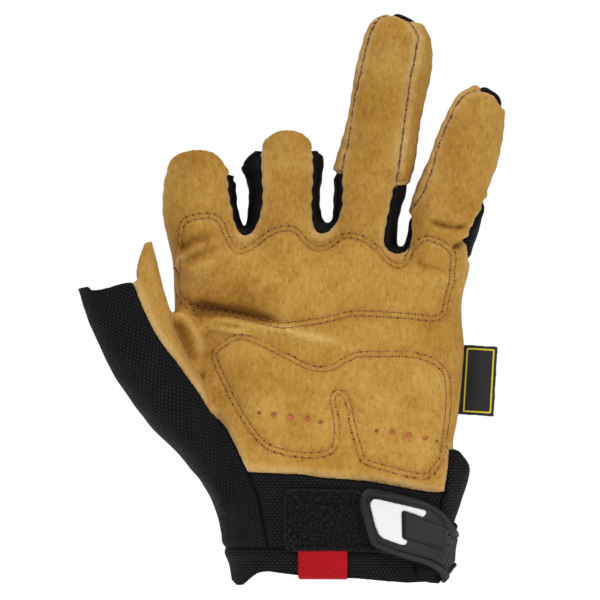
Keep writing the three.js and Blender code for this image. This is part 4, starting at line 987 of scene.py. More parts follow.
def badge_top(flat, depth):
    """Bare plate with a raised frame and a fine pebble grain."""
    height = rounded_edge(depth, 0.35, BADGE_TOP + 0.45, TAB_TOP - 0.4)
    height -= 0.55 * soft_step(depth, 0.75, 1.0)
    grain = noise_at(np.column_stack([flat[:, 0], flat[:, 1] * 0, flat[:, 1]]), 0.55, 1.4)
    return height + 0.05 * grain * (depth > 1.1)


def pull_top(flat, depth):
    """Webbing with a sewn line and a round fold under the hem."""
    low = PULL_TAB[2]
    height = 1.5 - 3.4 * (1 - np.sqrt(1 - np.clip(1 - (flat[:, 1] - low) / 1.6, 0, 0.999) ** 2))
    height -= 0.5 * np.exp(-((flat[:, 1] - low - 2.6) / 0.3) ** 2)
    height -= 0.25 * np.exp(-(np.minimum(depth, 1) / 0.3) ** 2)
    return height


def label_top(flat, depth):
    """Two layers of ribbon with a soft fold at the free end."""
    return rounded_edge(depth, 0.6, 0.55, 0.0) + 0.05 * np.sin(flat[:, 1] * 0.4)


def label_bend(x):
    """How far the label bends forwards from the seam."""
    return -0.9 * soft_step(np.array(x), 46, 60) - 0.4 * math.sin((x - 44) * 0.22)


def strap_outline():
    """Outline of the strap round the outer side, as lengths round the cuff and heights."""
    start, low, high = STRAP_BAND
    lengths = np.arange(60, 150, 0.5)
    back = band_value("places", lengths, np.full(len(lengths), (low + high) / 2))[:, 0]
    end = lengths[int(np.argmin(np.abs(back - STRAP_END)))]
    return np.array([(start, low), (end, low), (end, high), (start, high)])


def unwrap_cloth(piece):
    """UV map of a sewn panel, in metres, with its rows level."""
    mesh = piece.data
    if "cloth" not in mesh.uv_layers:
        mesh.uv_layers.new(name="cloth")
    bpy.context.view_layer.objects.active = piece
    piece.select_set(True)
    bpy.ops.object.mode_set(mode="EDIT")
    bpy.ops.mesh.select_all(action="SELECT")
    bpy.ops.uv.unwrap(method="CONFORMAL", margin=0.0)
    bpy.ops.object.mode_set(mode="OBJECT")
    piece.select_set(False)
    layer = mesh.uv_layers["cloth"]
    flat = np.zeros(len(mesh.loops) * 2)
    layer.uv.foreach_get("vector", flat)
    flat = flat.reshape(-1, 2)
    corners = np.zeros(len(mesh.loops), int)
    mesh.loops.foreach_get("vertex_index", corners)
    places = np.zeros(len(mesh.vertices) * 3)
    mesh.vertices.foreach_get("co", places)
    high = places.reshape(-1, 3)[corners, 2]
    spans = [(flat[list(p.loop_indices)], p.area) for p in list(mesh.polygons)[::7]]
    mapped = sum(abs(polygon_area(points)) for points, _ in spans)
    flat *= math.sqrt(sum(area for _, area in spans) / mapped)
    fit = np.linalg.lstsq(np.column_stack([flat, np.ones(len(flat))]), high, rcond=None)[0]
    turn = math.pi / 2 - math.atan2(fit[1], fit[0])
    spin = np.array([[math.cos(turn), math.sin(turn)], [-math.sin(turn), math.cos(turn)]])
    layer.uv.foreach_set("vector", (flat @ spin).ravel())


def polygon_area(points):
    """Signed area of a flat polygon."""
    x, y = points[:, 0], points[:, 1]
    return 0.5 * float(np.dot(x, np.roll(y, -1)) - np.dot(y, np.roll(x, -1)))


def map_round_cuff(piece):
    """UV map in metres by length round the cuff and by height."""
    mesh = piece.data
    layer = mesh.uv_layers.new(name="cloth")
    for polygon in mesh.polygons:
        turns = []
        for loop in polygon.loop_indices:
            place = mesh.vertices[mesh.loops[loop].vertex_index].co
            turns.append(math.atan2(place.y, place.x - 0.002))
        base = turns[0]
        for loop, turn in zip(polygon.loop_indices, turns):
            turn += 2 * math.pi * round((base - turn) / (2 * math.pi))
            height = mesh.vertices[mesh.loops[loop].vertex_index].co.z
            layer.uv[loop].vector = (turn * MEAN_CUFF_RADIUS, height)


def map_level(piece):
    """UV map in metres: across and up, or back and up on faces that turn to the side."""
    mesh = piece.data
    layer = mesh.uv_layers.new(name="cloth")
    for polygon in mesh.polygons:
        axis = 1 if abs(polygon.normal.x) > 0.75 else 0
        for loop in polygon.loop_indices:
            place = mesh.vertices[mesh.loops[loop].vertex_index].co
            layer.uv[loop].vector = (place[axis], place.z)


def rounded_outline(points, radius):
    """Outline whose corners are rounded by a radius."""
    points = np.array(points, float)
    found = []
    rows = zip(np.roll(points, 1, axis=0), points, np.roll(points, -1, axis=0))
    for before, corner, after in rows:
        back, on = before - corner, after - corner
        back_length, on_length = np.linalg.norm(back), np.linalg.norm(on)
        back, on = back / back_length, on / on_length
        cut = min(radius, 0.45 * back_length, 0.45 * on_length)
        start, end = corner + back * cut, corner + on * cut
        for t in np.linspace(0, 1, 7):
            found.append((1 - t) ** 2 * start + 2 * t * (1 - t) * corner + t * t * end)
    return np.array(found)


# ---- Sewing ----

def along_line(line, pitch, start=0.0):
    """Places and directions at even lengths along a line."""
    steps = np.linalg.norm(np.diff(line, axis=0), axis=1)
    passed = np.concatenate([[0], np.cumsum(steps)])
    marks = np.arange(start, passed[-1], pitch)
    places = np.column_stack([np.interp(marks, passed, line[:, k]) for k in range(2)])
    ahead = np.column_stack([np.interp(marks + 0.3, passed, line[:, k]) for k in range(2)])
    behind = np.column_stack([np.interp(marks - 0.3, passed, line[:, k]) for k in range(2)])
    return places, ahead - behind


def inset_line(line, distance):
    """Closed line moved inwards by a distance."""
    before, after = np.roll(line, 1, axis=0), np.roll(line, -1, axis=0)
    run = after - before
    side = np.column_stack([-run[:, 1], run[:, 0]]) / np.linalg.norm(run, axis=1)[:, None]
    if not inside_outline(line[:1] + side[:1] * 0.5, line)[0]:
        side = -side
    moved = line + side * distance
    return moved[outline_distance(moved, line) > distance * 0.93]


def add_stitch(bm, holes, place, along, normal, length, width):
    """One stitch lying along the surface, with a dark blob at its end as painted shade in the
    needle hole.
    """
    side = normal.cross(along).normalized()
    along = side.cross(normal).normalized()
    turn = Matrix((along, side, normal)).transposed().to_4x4()
    size = Matrix.Diagonal((length / 2, width / 2, width * 0.38, 1))
    bmesh.ops.create_uvsphere(bm, u_segments=6, v_segments=5, radius=1,
                              matrix=Matrix.Translation(place) @ turn @ size)
    # Dark blob at the end of the stitch: painted shade inside the needle hole.
    hole = place + along * (length * 0.62) - normal * 0.12
    size = Matrix.Diagonal((width * 0.62, width * 0.62, width * 0.4, 1))
    bmesh.ops.create_uvsphere(holes, u_segments=6, v_segments=4, radius=1,
                              matrix=Matrix.Translation(hole) @ turn @ size)


def sew_front(bm, holes, line, pitch, width, start=0.0):
    """Row of stitches along a line of the palm side."""
    tree = SKIN["tree"]
    places, runs = along_line(line, pitch, start)
    for (x, z), (dx, dz) in zip(places, runs):
        hit, normal, _, _ = tree.ray_cast(Vector((x, -80, z)), Vector((0, 1, 0)))
        if hit is None:
            continue
        along = Vector((dx, 0, dz))
        along -= normal * along.dot(normal)
        add_stitch(bm, holes, hit + normal * 0.05, along, normal, pitch * 0.74, width)


SEAM_ROWS = [
    RING_SEAM_OUTER, RING_SEAM_INNER, LITTLE_SEAM[1:-1],
    [(-1.1, 155), (0.2, 154.1), (1.8, 153.6)],
    [(22.9, 149.7), (26.4, 149.8)],
]


# ---- Materials ----

def new_material(name):
    """Empty node material: its tree, output node and shader."""
    material = bpy.data.materials.new(name)
    material.use_nodes = True
    tree = material.node_tree
    tree.nodes.clear()
    out = tree.nodes.new("ShaderNodeOutputMaterial")
    shader = tree.nodes.new("ShaderNodeBsdfPrincipled")
    tree.links.new(shader.outputs["BSDF"], out.inputs["Surface"])
    return material, tree, shader


def feed(tree, socket, value):
    """Sets a socket to a value, or links it to another node's output."""
    if isinstance(value, bpy.types.NodeSocket):
        tree.links.new(value, socket)
    else:
        socket.default_value = value


def add_node(tree, kind, inputs=None, **settings):
    """Adds a node with its settings, and its inputs as numbers or as other nodes' outputs."""
    node = tree.nodes.new(kind)
    for key, value in settings.items():
        setattr(node, key, value)
    for key, value in (inputs or {}).items():
        feed(tree, node.inputs[key], value)
    return node


def add_noise(tree, place, scale, detail, roughness=0.5):
    """Noise from 0 to 1, its scale in bumps to a metre."""
    return add_node(tree, "ShaderNodeTexNoise", {
        "Vector": place, "Scale": scale, "Detail": detail, "Roughness": roughness,
    }).outputs["Fac"]


def add_math(tree, operation, *values):
    """Result of a sum on numbers or on other nodes' outputs."""
    return add_node(tree, "ShaderNodeMath", dict(enumerate(values)),
                    operation=operation).outputs[0]


def add_range(tree, value, low, high, to_low=0.0, to_high=1.0):
    """A value carried from one range to another, and held at the ends."""
    return add_node(tree, "ShaderNodeMapRange", {
        "Value": value, "From Min": low, "From Max": high, "To Min": to_low, "To Max": to_high,
    }).outputs[0]


def mix_colours(tree, share, first, second):
    """The first colour, or by a share from 0 to 1 the second."""
    return add_node(tree, "ShaderNodeMix", {0: share, 6: first, 7: second},
                    data_type="RGBA").outputs[2]


def colour_steps(tree, value, stops, follows=None):
    """Colour ramp over a value: stops as (place, sRGB hex), the middle one the panel's colour."""
    ramp = add_node(tree, "ShaderNodeValToRGB", {"Fac": value})
    for place, _ in stops[1:-1]:
        ramp.color_ramp.elements.new(place)
    change = (1.0, 1.0, 1.0)
    if follows:
        chosen = getattr(bpy.context.scene.glove_colours, follows)
        middle = hex_colour(stops[len(stops) // 2][1])
        change = [new / old for new, old in zip(chosen, middle)]
    for element, (place, text) in zip(ramp.color_ramp.elements, stops):
        element.position = place
        element.color = (*(c * k for c, k in zip(hex_colour(text), change)), 1.0)
    return ramp.outputs["Color"]


def finish_shader(tree, shader, colour, roughness, height, strength, distance,
                  specular=0.5):
    """Gives a shader its colour, roughness, shine and the small bumps of a height."""
    bump = add_node(tree, "ShaderNodeBump", {
        "Height": height, "Strength": strength, "Distance": distance})
    feed(tree, shader.inputs["Base Color"], colour)
    feed(tree, shader.inputs["Roughness"], roughness)
    feed(tree, shader.inputs["Specular IOR Level"], specular)
    feed(tree, shader.inputs["Normal"], bump.outputs["Normal"])


def suede_material():
    """Tan pigskin suede: short nap, faint clouds, small brown pores, paler near the seams, painted
    shade in hollows and fold valleys, painted highlight on fold ridges.
    """
    material, tree, shader = new_material("suede_leather")
    place = add_node(tree, "ShaderNodeTexCoord").outputs["Object"]
    clouds = add_noise(tree, place, 60.0, 3.0, 0.55)
    drawn = add_node(tree, "ShaderNodeMapping", {"Vector": place})
    drawn.inputs["Scale"].default_value = (1.0, 1.0, 0.6)
    nap = add_noise(tree, drawn.outputs[0], 900.0, 4.0, 0.7)
    flecks = add_noise(tree, drawn.outputs[0], 560.0, 2.0)
    tone = add_math(tree, "MULTIPLY_ADD", flecks, 0.65, nap)
    tone = add_math(tree, "MULTIPLY_ADD", clouds, 1.1, tone)
    # Painted shade: the suede is coloured darker where its skin lies low, in seams, stitch
    # grooves, holes and hollows.
    lift = add_node(tree, "ShaderNodeAttribute", attribute_name="lift").outputs["Fac"]
    painted_hollow_shade = add_range(tree, lift, -1.6, 0.6, -0.4, 0.0)
    tone = add_math(tree, "ADD", tone, painted_hollow_shade)
    # Painted shade in the valleys of the folds and painted highlight on their ridges.
    fold = add_node(tree, "ShaderNodeAttribute", attribute_name="fold").outputs["Fac"]
    painted_fold_light = add_range(tree, fold, -2.4, 2.4, -0.8, 0.3)
    tone = add_math(tree, "ADD", tone, painted_fold_light)
    shade = add_range(tree, tone, 0.33, 1.93)
    colour = colour_steps(tree, shade, [
        (0.0, "#7a5117"), (0.3, "#a2742b"), (0.5, "#b2863c"), (0.7, "#bf974e"),
        (1.0, "#d2b274")], follows="suede")
    pores = add_node(tree, "ShaderNodeTexVoronoi", {
        "Vector": drawn.outputs[0], "Scale": 380.0, "Randomness": 1.0},
        feature="F1").outputs["Distance"]
    pores = add_math(tree, "MULTIPLY_ADD", nap, 0.35, pores)
    open_skin = add_range(tree, pores, 0.26, 0.42, 0.45, 1.0)
    colour = mix_colours(tree, open_skin, hex_colour("#9a6424"), colour)
    # Paler towards the seams, by a share that follows the clouds.
    gap = add_node(tree, "ShaderNodeAttribute", attribute_name="seam_gap").outputs["Fac"]
    paler_near_seams = add_range(tree, gap, 0.3, 3.4, 0.75, 0.0)
    paler_near_seams = add_math(tree, "MULTIPLY", paler_near_seams, clouds)
    colour = mix_colours(tree, paler_near_seams, colour, hex_colour("#dcc08a"))
    hole = add_node(tree, "ShaderNodeAttribute", attribute_name="pore").outputs["Fac"]
    colour = mix_colours(tree, hole, colour, hex_colour("#c07748"))
    shader.inputs["Sheen Weight"].default_value = 0.2
    shader.inputs["Sheen Roughness"].default_value = 0.4
    shader.inputs["Sheen Tint"].default_value = hex_colour("#f0dcb4")
    grain = add_math(tree, "MULTIPLY_ADD", nap, 1.3, open_skin)
    finish_shader(tree, shader, colour, 0.88, grain, 0.55, 0.0003, specular=0.2)
    return material


def weave_height(tree, pitch_across, pitch_up, slant=0.0):
    """Rows of small offset ovals on the cloth map: height of the weave from 0 to 1."""
    place = add_node(tree, "ShaderNodeUVMap", uv_map="cloth").outputs["UV"]
    turned = add_node(tree, "ShaderNodeVectorRotate", {"Vector": place, "Angle": -slant},
                      rotation_type="Z_AXIS")
    counted = add_node(tree, "ShaderNodeVectorMath", {
        0: turned.outputs[0], 1: (1 / pitch_across, 1 / pitch_up, 1)}, operation="MULTIPLY")
    parts = add_node(tree, "ShaderNodeSeparateXYZ", {"Vector": counted.outputs[0]})
    row = add_math(tree, "FLOOR", parts.outputs[1])
    shift = add_math(tree, "MULTIPLY", row, 0.5)
    across = add_math(tree, "ADD", parts.outputs[0], shift)
    cell = add_math(tree, "FRACT", across)
    up = add_math(tree, "FRACT", parts.outputs[1])
    x = add_math(tree, "MULTIPLY_ADD", cell, 2.0, -1.0)
    y = add_math(tree, "MULTIPLY_ADD", up, 2.0, -1.0)
    joined = add_node(tree, "ShaderNodeCombineXYZ", {"X": x, "Y": y})
    size = add_node(tree, "ShaderNodeVectorMath", {0: joined.outputs[0]}, operation="LENGTH")
    return add_node(tree, "ShaderNodeMapRange", {
        "Value": size.outputs["Value"], "From Min": 0.25, "From Max": 1.15, "To Min": 1.0,
        "To Max": 0.0}, interpolation_type="SMOOTHSTEP").outputs[0]


def woven_material(name, pitch_across, pitch_up, dark, light, strength, roughness=0.78,
                   slant=0.0, shade_seams=False, follows=None):
    """Cloth of small offset ovals with fuzz between them, with painted shade in its seam grooves
    when asked for.
    """
    material, tree, shader = new_material(name)
    weave = weave_height(tree, pitch_across, pitch_up, slant)
    place = add_node(tree, "ShaderNodeTexCoord").outputs["Object"]
    fuzz = add_noise(tree, place, 1500.0, 2.0)
    cloud = add_noise(tree, place, 110.0, 3.0)
    tone = add_math(tree, "MULTIPLY_ADD", fuzz, 0.45, weave)
    tone = add_math(tree, "MULTIPLY_ADD", cloud, 0.5, tone)
    if shade_seams:
        # Painted shade: the cloth is coloured darkest in the grooves of the seams.
        gap = add_node(tree, "ShaderNodeAttribute", attribute_name="seam_gap").outputs["Fac"]
        painted_seam_shade = add_range(tree, gap, 0.1, 0.9, 0.0, 1.0)
        tone = add_math(tree, "MULTIPLY", tone, painted_seam_shade)
    halved = add_math(tree, "MULTIPLY", tone, 0.5)
    colour = colour_steps(
        tree, halved, [(0.3, dark), (0.75, light), (0.9, light)], follows)
    height = add_math(tree, "MULTIPLY_ADD", fuzz, 0.35, weave)
    finish_shader(tree, shader, colour, roughness, height, strength, 0.0003, specular=0.12)
    return material


def knit_material():
    """Black knit of the thumb, cuff and back: rows of tiny offset ovals about 1 mm apart."""
    return woven_material("knit_fabric", 0.0018, 0.0011, "#030303", "#1f1f22", 0.9, shade_seams=True,
                          follows="knit")


def stretch_material():
    """Smooth black stretch cloth of the gussets, with very fine ribs."""
    return woven_material("stretch_fabric", 0.0009, 0.0005, "#040405", "#0b0b0c", 0.35, 0.6)


def strap_material():
    """Black woven strap with a fuzzy face."""
    return woven_material("woven_strap", 0.0011, 0.0007, "#030304", "#151517", 0.8)


def webbing_material():
    """Red twill webbing: tight slanting ribs under 1 mm apart."""
    return woven_material("red_webbing", 0.03, 0.00062, "#8e0410", "#b80a18", 0.4, 0.65, 1.1,
                          follows="webbing")


def pile_material():
    """Black loop pile: a mat of tiny curled loops that drinks the light."""
    material, tree, shader = new_material("loop_pile")
    place = add_node(tree, "ShaderNodeTexCoord").outputs["Object"]
    loops = add_node(tree, "ShaderNodeTexVoronoi", {
        "Vector": place, "Scale": 1150.0}, feature="F1").outputs["Distance"]
    fuzz = add_noise(tree, place, 900.0, 3.0, 0.7)
    tone = add_math(tree, "ADD", loops, fuzz)
    # Painted highlight: the pile is coloured lighter along its rim.
    gap = add_node(tree, "ShaderNodeAttribute", attribute_name="edge_gap").outputs["Fac"]
    painted_rim_highlight = add_range(tree, gap, 0.5, 1.3, 0.3, 0.0)
    shade = add_math(tree, "ADD", tone, painted_rim_highlight)
    halved = add_math(tree, "MULTIPLY", shade, 0.5)
    colour = colour_steps(tree, halved, [(0.25, "#020202"), (0.5, "#0d0d0e"),
                                                    (0.75, "#242426")])
    finish_shader(tree, shader, colour, 0.9, tone, 1.0, 0.0005, specular=0.12)
    return material


def rubber_material():
    """Moulded black thermoplastic rubber: satin, with a faint spark-eroded grain."""
    material, tree, shader = new_material("moulded_rubber")
    place = add_node(tree, "ShaderNodeTexCoord").outputs["Object"]
    grain = add_noise(tree, place, 2600.0, 2.0)
    cloud = add_noise(tree, place, 160.0, 3.0)
    colour = colour_steps(tree, cloud, [(0.3, "#0e0e10"), (0.5, "#131315"), (0.7, "#19191c")],
                          follows="rubber")
    rough = add_range(tree, cloud, 0.3, 0.7, 0.42, 0.56)
    finish_shader(tree, shader, colour, rough, grain, 0.25, 0.00006, specular=0.3)
    return material


def white_material():
    """White moulded plate, slightly translucent, with fine dust in its grain."""
    material, tree, shader = new_material("white_plastic")
    place = add_node(tree, "ShaderNodeTexCoord").outputs["Object"]
    grain = add_noise(tree, place, 1400.0, 3.0)
    colour = colour_steps(tree, grain, [(0.3, "#d6d6d9"), (0.5, "#dadadd"), (0.7, "#dedee1")],
                          follows="plate")
    finish_shader(tree, shader, colour, 0.45, grain, 0.2, 0.00008)
    return material


def label_material():
    """Black woven label cloth with a thin yellow line inside its edge."""
    material, tree, shader = new_material("label_cloth")
    gap = add_node(tree, "ShaderNodeAttribute", attribute_name="edge_gap").outputs["Fac"]
    off = add_math(tree, "SUBTRACT", gap, 1.35)
    off = add_math(tree, "ABSOLUTE", off)
    line = add_range(tree, off, 0.2, 0.34, 1.0, 0.0)
    weave = weave_height(tree, 0.0007, 0.0005)
    black = colour_steps(tree, weave, [(0.0, "#060607"), (0.9, "#111113"), (1.0, "#151517")])
    colour = mix_colours(tree, line, black, hex_colour("#d6c51c"))
    finish_shader(tree, shader, colour, 0.7, weave, 0.4, 0.00012)
    return material


def thread_material():
    """Brown bonded sewing thread, twisted and slightly shiny."""
    material, tree, shader = new_material("sewing_thread")
    place = add_node(tree, "ShaderNodeTexCoord").outputs["Object"]
    twist = add_noise(tree, place, 2400.0, 2.0)
    colour = colour_steps(tree, twist, [(0.3, "#7c4c2a"), (0.5, "#946038"), (0.7, "#a97548")],
                          follows="thread")
    finish_shader(tree, shader, colour, 0.6, twist, 0.4, 0.0001)
    return material


def hole_material():
    """Needle holes in the suede: dark browns that stand in as painted shade inside the holes."""
    material, tree, shader = new_material("needle_hole")
    place = add_node(tree, "ShaderNodeTexCoord").outputs["Object"]
    # Dark mottled browns: painted shade inside the needle holes.
    hole_mottle = add_noise(tree, place, 1900.0, 3.0, 0.7)
    colour = colour_steps(tree, hole_mottle, [(0.3, "#241408"), (0.5, "#3b2410"), (0.7, "#5e3b1a")])
    finish_shader(tree, shader, colour, 0.95, hole_mottle, 0.6, 0.0002, specular=0.1)
    return material


# ---- The stage ----

# Below the glove, which its mount holds up
FLOOR_HEIGHT = -13


def set_stage(stage):
    """Pale floor, white surroundings, soft studio light and the camera of the photograph."""
    scene = bpy.context.scene
    bm = bmesh.new()
    bmesh.ops.create_grid(bm, x_segments=1, y_segments=1, size=1)
    bmesh.ops.scale(bm, verts=bm.verts, vec=(0.75, 0.5, 1))
    bmesh.ops.translate(bm, verts=bm.verts, vec=(0, 0.25, FLOOR_HEIGHT * MM))
    mesh = bpy.data.meshes.new("floor")
    bm.to_mesh(mesh)
    bm.free()
    paper, tree, shader = new_material("floor_paper")
    shader.inputs["Base Color"].default_value = hex_colour("#fbfbfb")
    shader.inputs["Roughness"].default_value = 0.95
    shader.inputs["Emission Color"].default_value = (1, 1, 1, 1)
    shader.inputs["Emission Strength"].default_value = 0.6
    mesh.materials.append(paper)
    floor = bpy.data.objects.new("floor", mesh)
    scene.collection.objects.link(floor)
    world = bpy.data.worlds.new("studio")
    world.use_nodes = True
    tree = world.node_tree
    seen = add_node(tree, "ShaderNodeLightPath").outputs["Is Camera Ray"]
    level = add_range(tree, seen, 0.0, 1.0, stage.fill)
    tree.links.new(level, tree.nodes["Background"].inputs["Strength"])
    tree.nodes["Background"].inputs["Color"].default_value = (1, 1, 1, 1)
    scene.world = world
    for name, place, size, power in [
        ("key_light", (-0.55, -0.95, 1.35), 0.5, stage.key),
        ("side_light", (1.1, -0.75, 0.45), 0.6, stage.side),
        ("top_light", (0.1, 0.1, 1.5), 0.8, stage.top),
    ]:
        light = bpy.data.lights.new(name, "AREA")
        light.shape = "SQUARE"
        light.size = size
        light.energy = power
        lamp = bpy.data.objects.new(name, light)
        lamp.location = place
        aim = Vector((0, 0, 0.1)) - Vector(place)
        lamp.rotation_euler = aim.to_track_quat("-Z", "Y").to_euler()
        scene.collection.objects.link(lamp)
    camera = bpy.data.cameras.new("camera")
    camera.lens = 200 * stage.camera_distance / 1.267
    camera.sensor_width = 36
    view = bpy.data.objects.new("camera", camera)
    view.location = (-14.06 * MM, -stage.camera_distance, 104.5 * MM)
    view.rotation_euler = (math.pi / 2, 0, 0)
    scene.collection.objects.link(view)
    scene.camera = view
    scene.view_settings.view_transform = "Standard"


# ---- Sizes in the panel ----

class GloveSizes(bpy.types.PropertyGroup):
    """Thicknesses and stitches of the glove."""
    leather_thickness: bpy.props.FloatProperty(
        name="Leather", description="Thickness of the suede", default=0.0016, unit="LENGTH")
    knit_thickness: bpy.props.FloatProperty(
        name="Knit", description="Thickness of the back, thumb and cuff fabric",
        default=0.0014, unit="LENGTH")
    stitch_pitch: bpy.props.FloatProperty(
        name="Stitch pitch", description="Length from one stitch to the next",
        default=0.0027, unit="LENGTH")
    stitch_width: bpy.props.FloatProperty(
        name="Thread", description="Width of the sewing thread", default=0.00062, unit="LENGTH")


def colour_property(name, description, text):
    """Property of the panel that holds a colour, given as sRGB hex."""
    return bpy.props.FloatVectorProperty(
        name=name, description=description, subtype="COLOR", min=0.0, max=1.0,
        default=hex_colour(text)[:3])


class GloveColours(bpy.types.PropertyGroup):
    """Middle tones of the materials, which their lighter and darker shades follow."""
    suede: colour_property("Suede", "Leather of the palm and fingers", "#b2863c")
    knit: colour_property("Knit", "Raised yarns of the back, thumb and cuff", "#1f1f22")
    webbing: colour_property("Webbing", "Raised yarns of the pull", "#b80a18")
    rubber: colour_property("Rubber", "Closing tab", "#131315")
    plate: colour_property("Plate", "Inlay of the closing tab", "#dadadd")
    thread: colour_property("Thread", "Stitches of the palm side", "#946038")


class StageSettings(bpy.types.PropertyGroup):
    """Lights and camera of the studio."""
    camera_distance: bpy.props.FloatProperty(
        name="Camera distance", description="How far the camera stands in front",
        default=5.0, unit="LENGTH")
    fill: bpy.props.FloatProperty(
        name="Fill", description="Strength of the light from all round", default=0.15)
    key: bpy.props.FloatProperty(
        name="Key", description="Power of the light from the upper left", default=18.0)
    side: bpy.props.FloatProperty(
        name="Side", description="Power of the light from the right", default=7.5)
    top: bpy.props.FloatProperty(
        name="Top", description="Power of the light from above", default=5.0)


# ---- Operators ----

class GLOVE_OT_leather(bpy.types.Operator):
    """Sews the suede palm with its fingers and pads"""
    bl_idname = "glove.leather"
    bl_label = "Leather palm"

    def execute(self, context):
        sizes = context.scene.glove_sizes
        piece = add_piece(panel_mesh("leather"), "suede_palm", suede_material(),
                          ["palm_leather"])
        add_wall(piece, sizes.leather_thickness)
        for name in ("ring_side_inner", "ring_side_outer", "little_side"):
            piece = add_piece(panel_mesh(name), "suede_" + name, suede_material(),
                              [name])
            add_wall(piece, sizes.leather_thickness)
        return {"FINISHED"}


class GLOVE_OT_fabric(bpy.types.Operator):
    """Makes the black back, thumb, fourchettes, cuff and hem"""
    bl_idname = "glove.fabric"
    bl_label = "Fabric panels"

    def execute(self, context):
        sizes = context.scene.glove_sizes
        for name in ("thumb_panel", "cuff_front", "back_panel", "hem_binding"):
            piece = add_piece(panel_mesh(name), "knit_" + name, knit_material(),
                              [name])
            if name == HEM:
                map_round_cuff(piece)
            elif name == "back_panel":
                map_level(piece)
            else:
                unwrap_cloth(piece)
            add_wall(piece, sizes.knit_thickness)
        for name in ("index_middle", "middle_ring", "ring_little"):
            name = "fourchette_" + name
            piece = add_piece(panel_mesh(name), "stretch_" + name, stretch_material(),
                              [name])
            unwrap_cloth(piece)
            add_wall(piece, sizes.knit_thickness)
        return {"FINISHED"}


class GLOVE_OT_closure(bpy.types.Operator):
    """Moulds the closing tab with its white plate and bare badge"""
    bl_idname = "glove.closure"
    bl_label = "Wrist closure"

    def execute(self, context):
        outline = curve_through(round_the_cuff(TAB, TAB_RIM), 0.8, closed=True)
        plate = thick_plate(outline, 0.42, tab_top, TAB_BASE)
        add_piece(wrap_on_cuff(plate), "closure_tab_rubber", rubber_material(),
                  ["closure_tab"])
        outline = rounded_outline(round_the_cuff(INLAY, INLAY_TOP), 0.9)
        plate = thick_plate(
            outline, 0.5,
            lambda flat, depth: rounded_edge(depth, 0.45, INLAY_TOP, TAB_TOP - 0.4),
            TAB_TOP - 0.4)
        add_piece(wrap_on_cuff(plate), "tab_plate", white_material(),
                  ["tab_insert"])
        outline = rounded_outline(round_the_cuff(BADGE, BADGE_TOP), 0.5)
        plate = thick_plate(outline, 0.35, badge_top, TAB_TOP - 0.4)
        add_piece(wrap_on_cuff(plate), "tab_badge_bare", rubber_material(),
                  ["tab_badge"])
        return {"FINISHED"}


class GLOVE_OT_strap(bpy.types.Operator):
    """Weaves the strap that runs round the outer side to the back"""
    bl_idname = "glove.strap"
    bl_label = "Wrist strap"

    def execute(self, context):
        outline = rounded_outline(strap_outline(), 2.0)
        plate = thick_plate(
            outline, 0.9, lambda flat, depth: rounded_edge(depth, 0.7, 1.7, 0.5), 0.5)
        add_piece(wrap_on_cuff(plate), "wrist_strap", strap_material(),
                  ["closure_tab"])
        return {"FINISHED"}


class GLOVE_OT_patch(bpy.types.Operator):
    """Makes the loop pile patch that the strap closes on"""
    bl_idname = "glove.patch"
    bl_label = "Loop patch"

    def execute(self, context):
        outline = curve_through(round_the_cuff(LOOP_PATCH, 1.6), 1.0, closed=True)
        plate = thick_plate(outline, 0.45, loop_top, 0.5)
        add_piece(wrap_on_cuff(plate), "loop_patch_pile", pile_material(),
                  ["loop_patch"])
        return {"FINISHED"}


class GLOVE_OT_pull(bpy.types.Operator):
    """Folds the red webbing pull over the hem"""
    bl_idname = "glove.pull"
    bl_label = "Webbing pull"

    def execute(self, context):
        left, right, low, high = PULL_TAB
        corners = round_the_cuff([(left, low), (right, low), (right, high), (left, high)], 1.4)
        outline = rounded_outline(corners, 0.4)
        plate = thick_plate(outline, 0.5, pull_top, -2.2)
        add_piece(wrap_on_cuff(plate), "webbing_pull", webbing_material(),
                  ["pull_tab"])
        return {"FINISHED"}


class GLOVE_OT_label(bpy.types.Operator):
    """Sews the bare folded label into the side seam"""
    bl_idname = "glove.label"
    bl_label = "Side label"

    def execute(self, context):
        outline = rounded_outline(
            [(41.5, 87.9), LABEL[1], LABEL[2], (40.5, 61.4)], 0.5)
        plate = thick_plate(outline, 0.5, label_top, -0.55)
        flat_map(plate)
        gap = plate.verts.layers.float["edge_gap"]
        seen = outline_distance(places_of(plate)[:, [0, 2]], np.array(LABEL))
        for vert, distance in zip(plate.verts, seen):
            vert[gap] = distance
            vert.co.y += SEAM_BEHIND + label_bend(vert.co.x)
        add_piece(plate, "side_label_bare", label_material(), ["side_label"])
        return {"FINISHED"}


class GLOVE_OT_sewing(bpy.types.Operator):
    """Sews the double rows of the pads and the rows of the finger seams"""
    bl_idname = "glove.sewing"
    bl_label = "Stitches"

    def execute(self, context):
        hand_skin()
        sizes = context.scene.glove_sizes
        pitch, width = sizes.stitch_pitch / MM, sizes.stitch_width / MM
        thread, holes = bmesh.new(), bmesh.new()
        for line in (UPPER_PAD_LINE, LOWER_PAD_LINE):
            closed = np.vstack([line, line[:1]])
            sew_front(thread, holes, closed, pitch, width)
            inner = inset_line(line, PAD_ROWS_APART)
            sew_front(thread, holes, np.vstack([inner, inner[:1]]), pitch, width, pitch / 2)
        for row in SEAM_ROWS:
            sew_front(thread, holes, curve_through(row, 1.0), pitch * 0.8, width)
        add_piece(thread, "pad_stitches", thread_material(), [])
        add_piece(holes, "needle_holes", hole_material(), [])
        return {"FINISHED"}


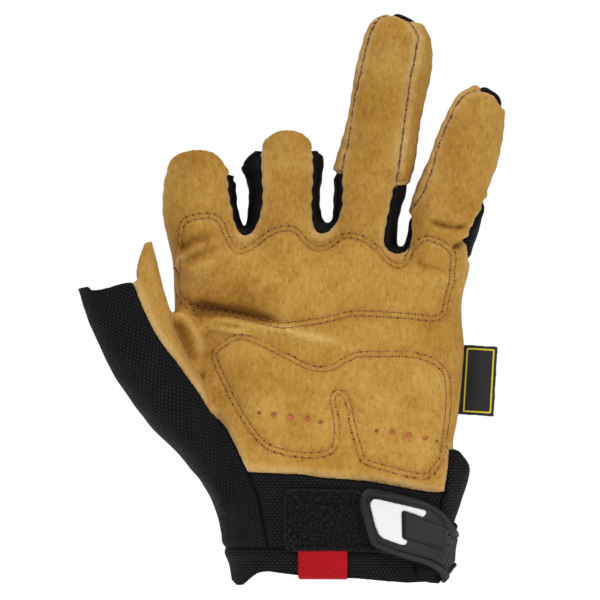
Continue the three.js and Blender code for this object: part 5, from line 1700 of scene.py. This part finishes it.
class GLOVE_OT_cuts(bpy.types.Operator):
    """Does nothing: the flat cuts of the sheets are not given"""
    bl_idname = "glove.cuts"
    bl_label = "Flat cuts"

    def execute(self, context):
        return {"FINISHED"}


class GLOVE_OT_stage(bpy.types.Operator):
    """Sets up the backdrop, the lights and the camera"""
    bl_idname = "glove.stage"
    bl_label = "Studio"

    def execute(self, context):
        set_stage(context.scene.glove_stage)
        return {"FINISHED"}


class GLOVE_PT_panel(bpy.types.Panel):
    """Sizes and colours of the glove and the buttons that make its pieces"""
    bl_idname = "GLOVE_PT_panel"
    bl_label = "Work glove"
    bl_space_type = "VIEW_3D"
    bl_region_type = "UI"
    bl_category = "Glove"

    def draw(self, context):
        scene = context.scene
        for group in (scene.glove_sizes, scene.glove_colours, scene.glove_stage):
            for name in group.__annotations__:
                self.layout.prop(group, name)
        for operator in OPERATORS:
            self.layout.operator(operator.bl_idname)


OPERATORS = (
    GLOVE_OT_leather, GLOVE_OT_fabric, GLOVE_OT_closure, GLOVE_OT_strap, GLOVE_OT_patch,
    GLOVE_OT_pull, GLOVE_OT_label, GLOVE_OT_sewing, GLOVE_OT_cuts, GLOVE_OT_stage,
)
CLASSES = (GloveSizes, GloveColours, StageSettings, *OPERATORS, GLOVE_PT_panel)


def register():
    for cls in CLASSES:
        bpy.utils.register_class(cls)
    bpy.types.Scene.glove_sizes = bpy.props.PointerProperty(type=GloveSizes)
    bpy.types.Scene.glove_colours = bpy.props.PointerProperty(type=GloveColours)
    bpy.types.Scene.glove_stage = bpy.props.PointerProperty(type=StageSettings)


def unregister():
    del bpy.types.Scene.glove_stage
    del bpy.types.Scene.glove_colours
    del bpy.types.Scene.glove_sizes
    for cls in reversed(CLASSES):
        bpy.utils.unregister_class(cls)


def main():
    register()
    bpy.ops.glove.stage()
    bpy.ops.glove.leather()
    bpy.ops.glove.fabric()
    bpy.ops.glove.closure()
    bpy.ops.glove.strap()
    bpy.ops.glove.patch()
    bpy.ops.glove.pull()
    bpy.ops.glove.label()
    bpy.ops.glove.sewing()
    bpy.ops.glove.cuts()


if __name__ == "__main__":
    main()
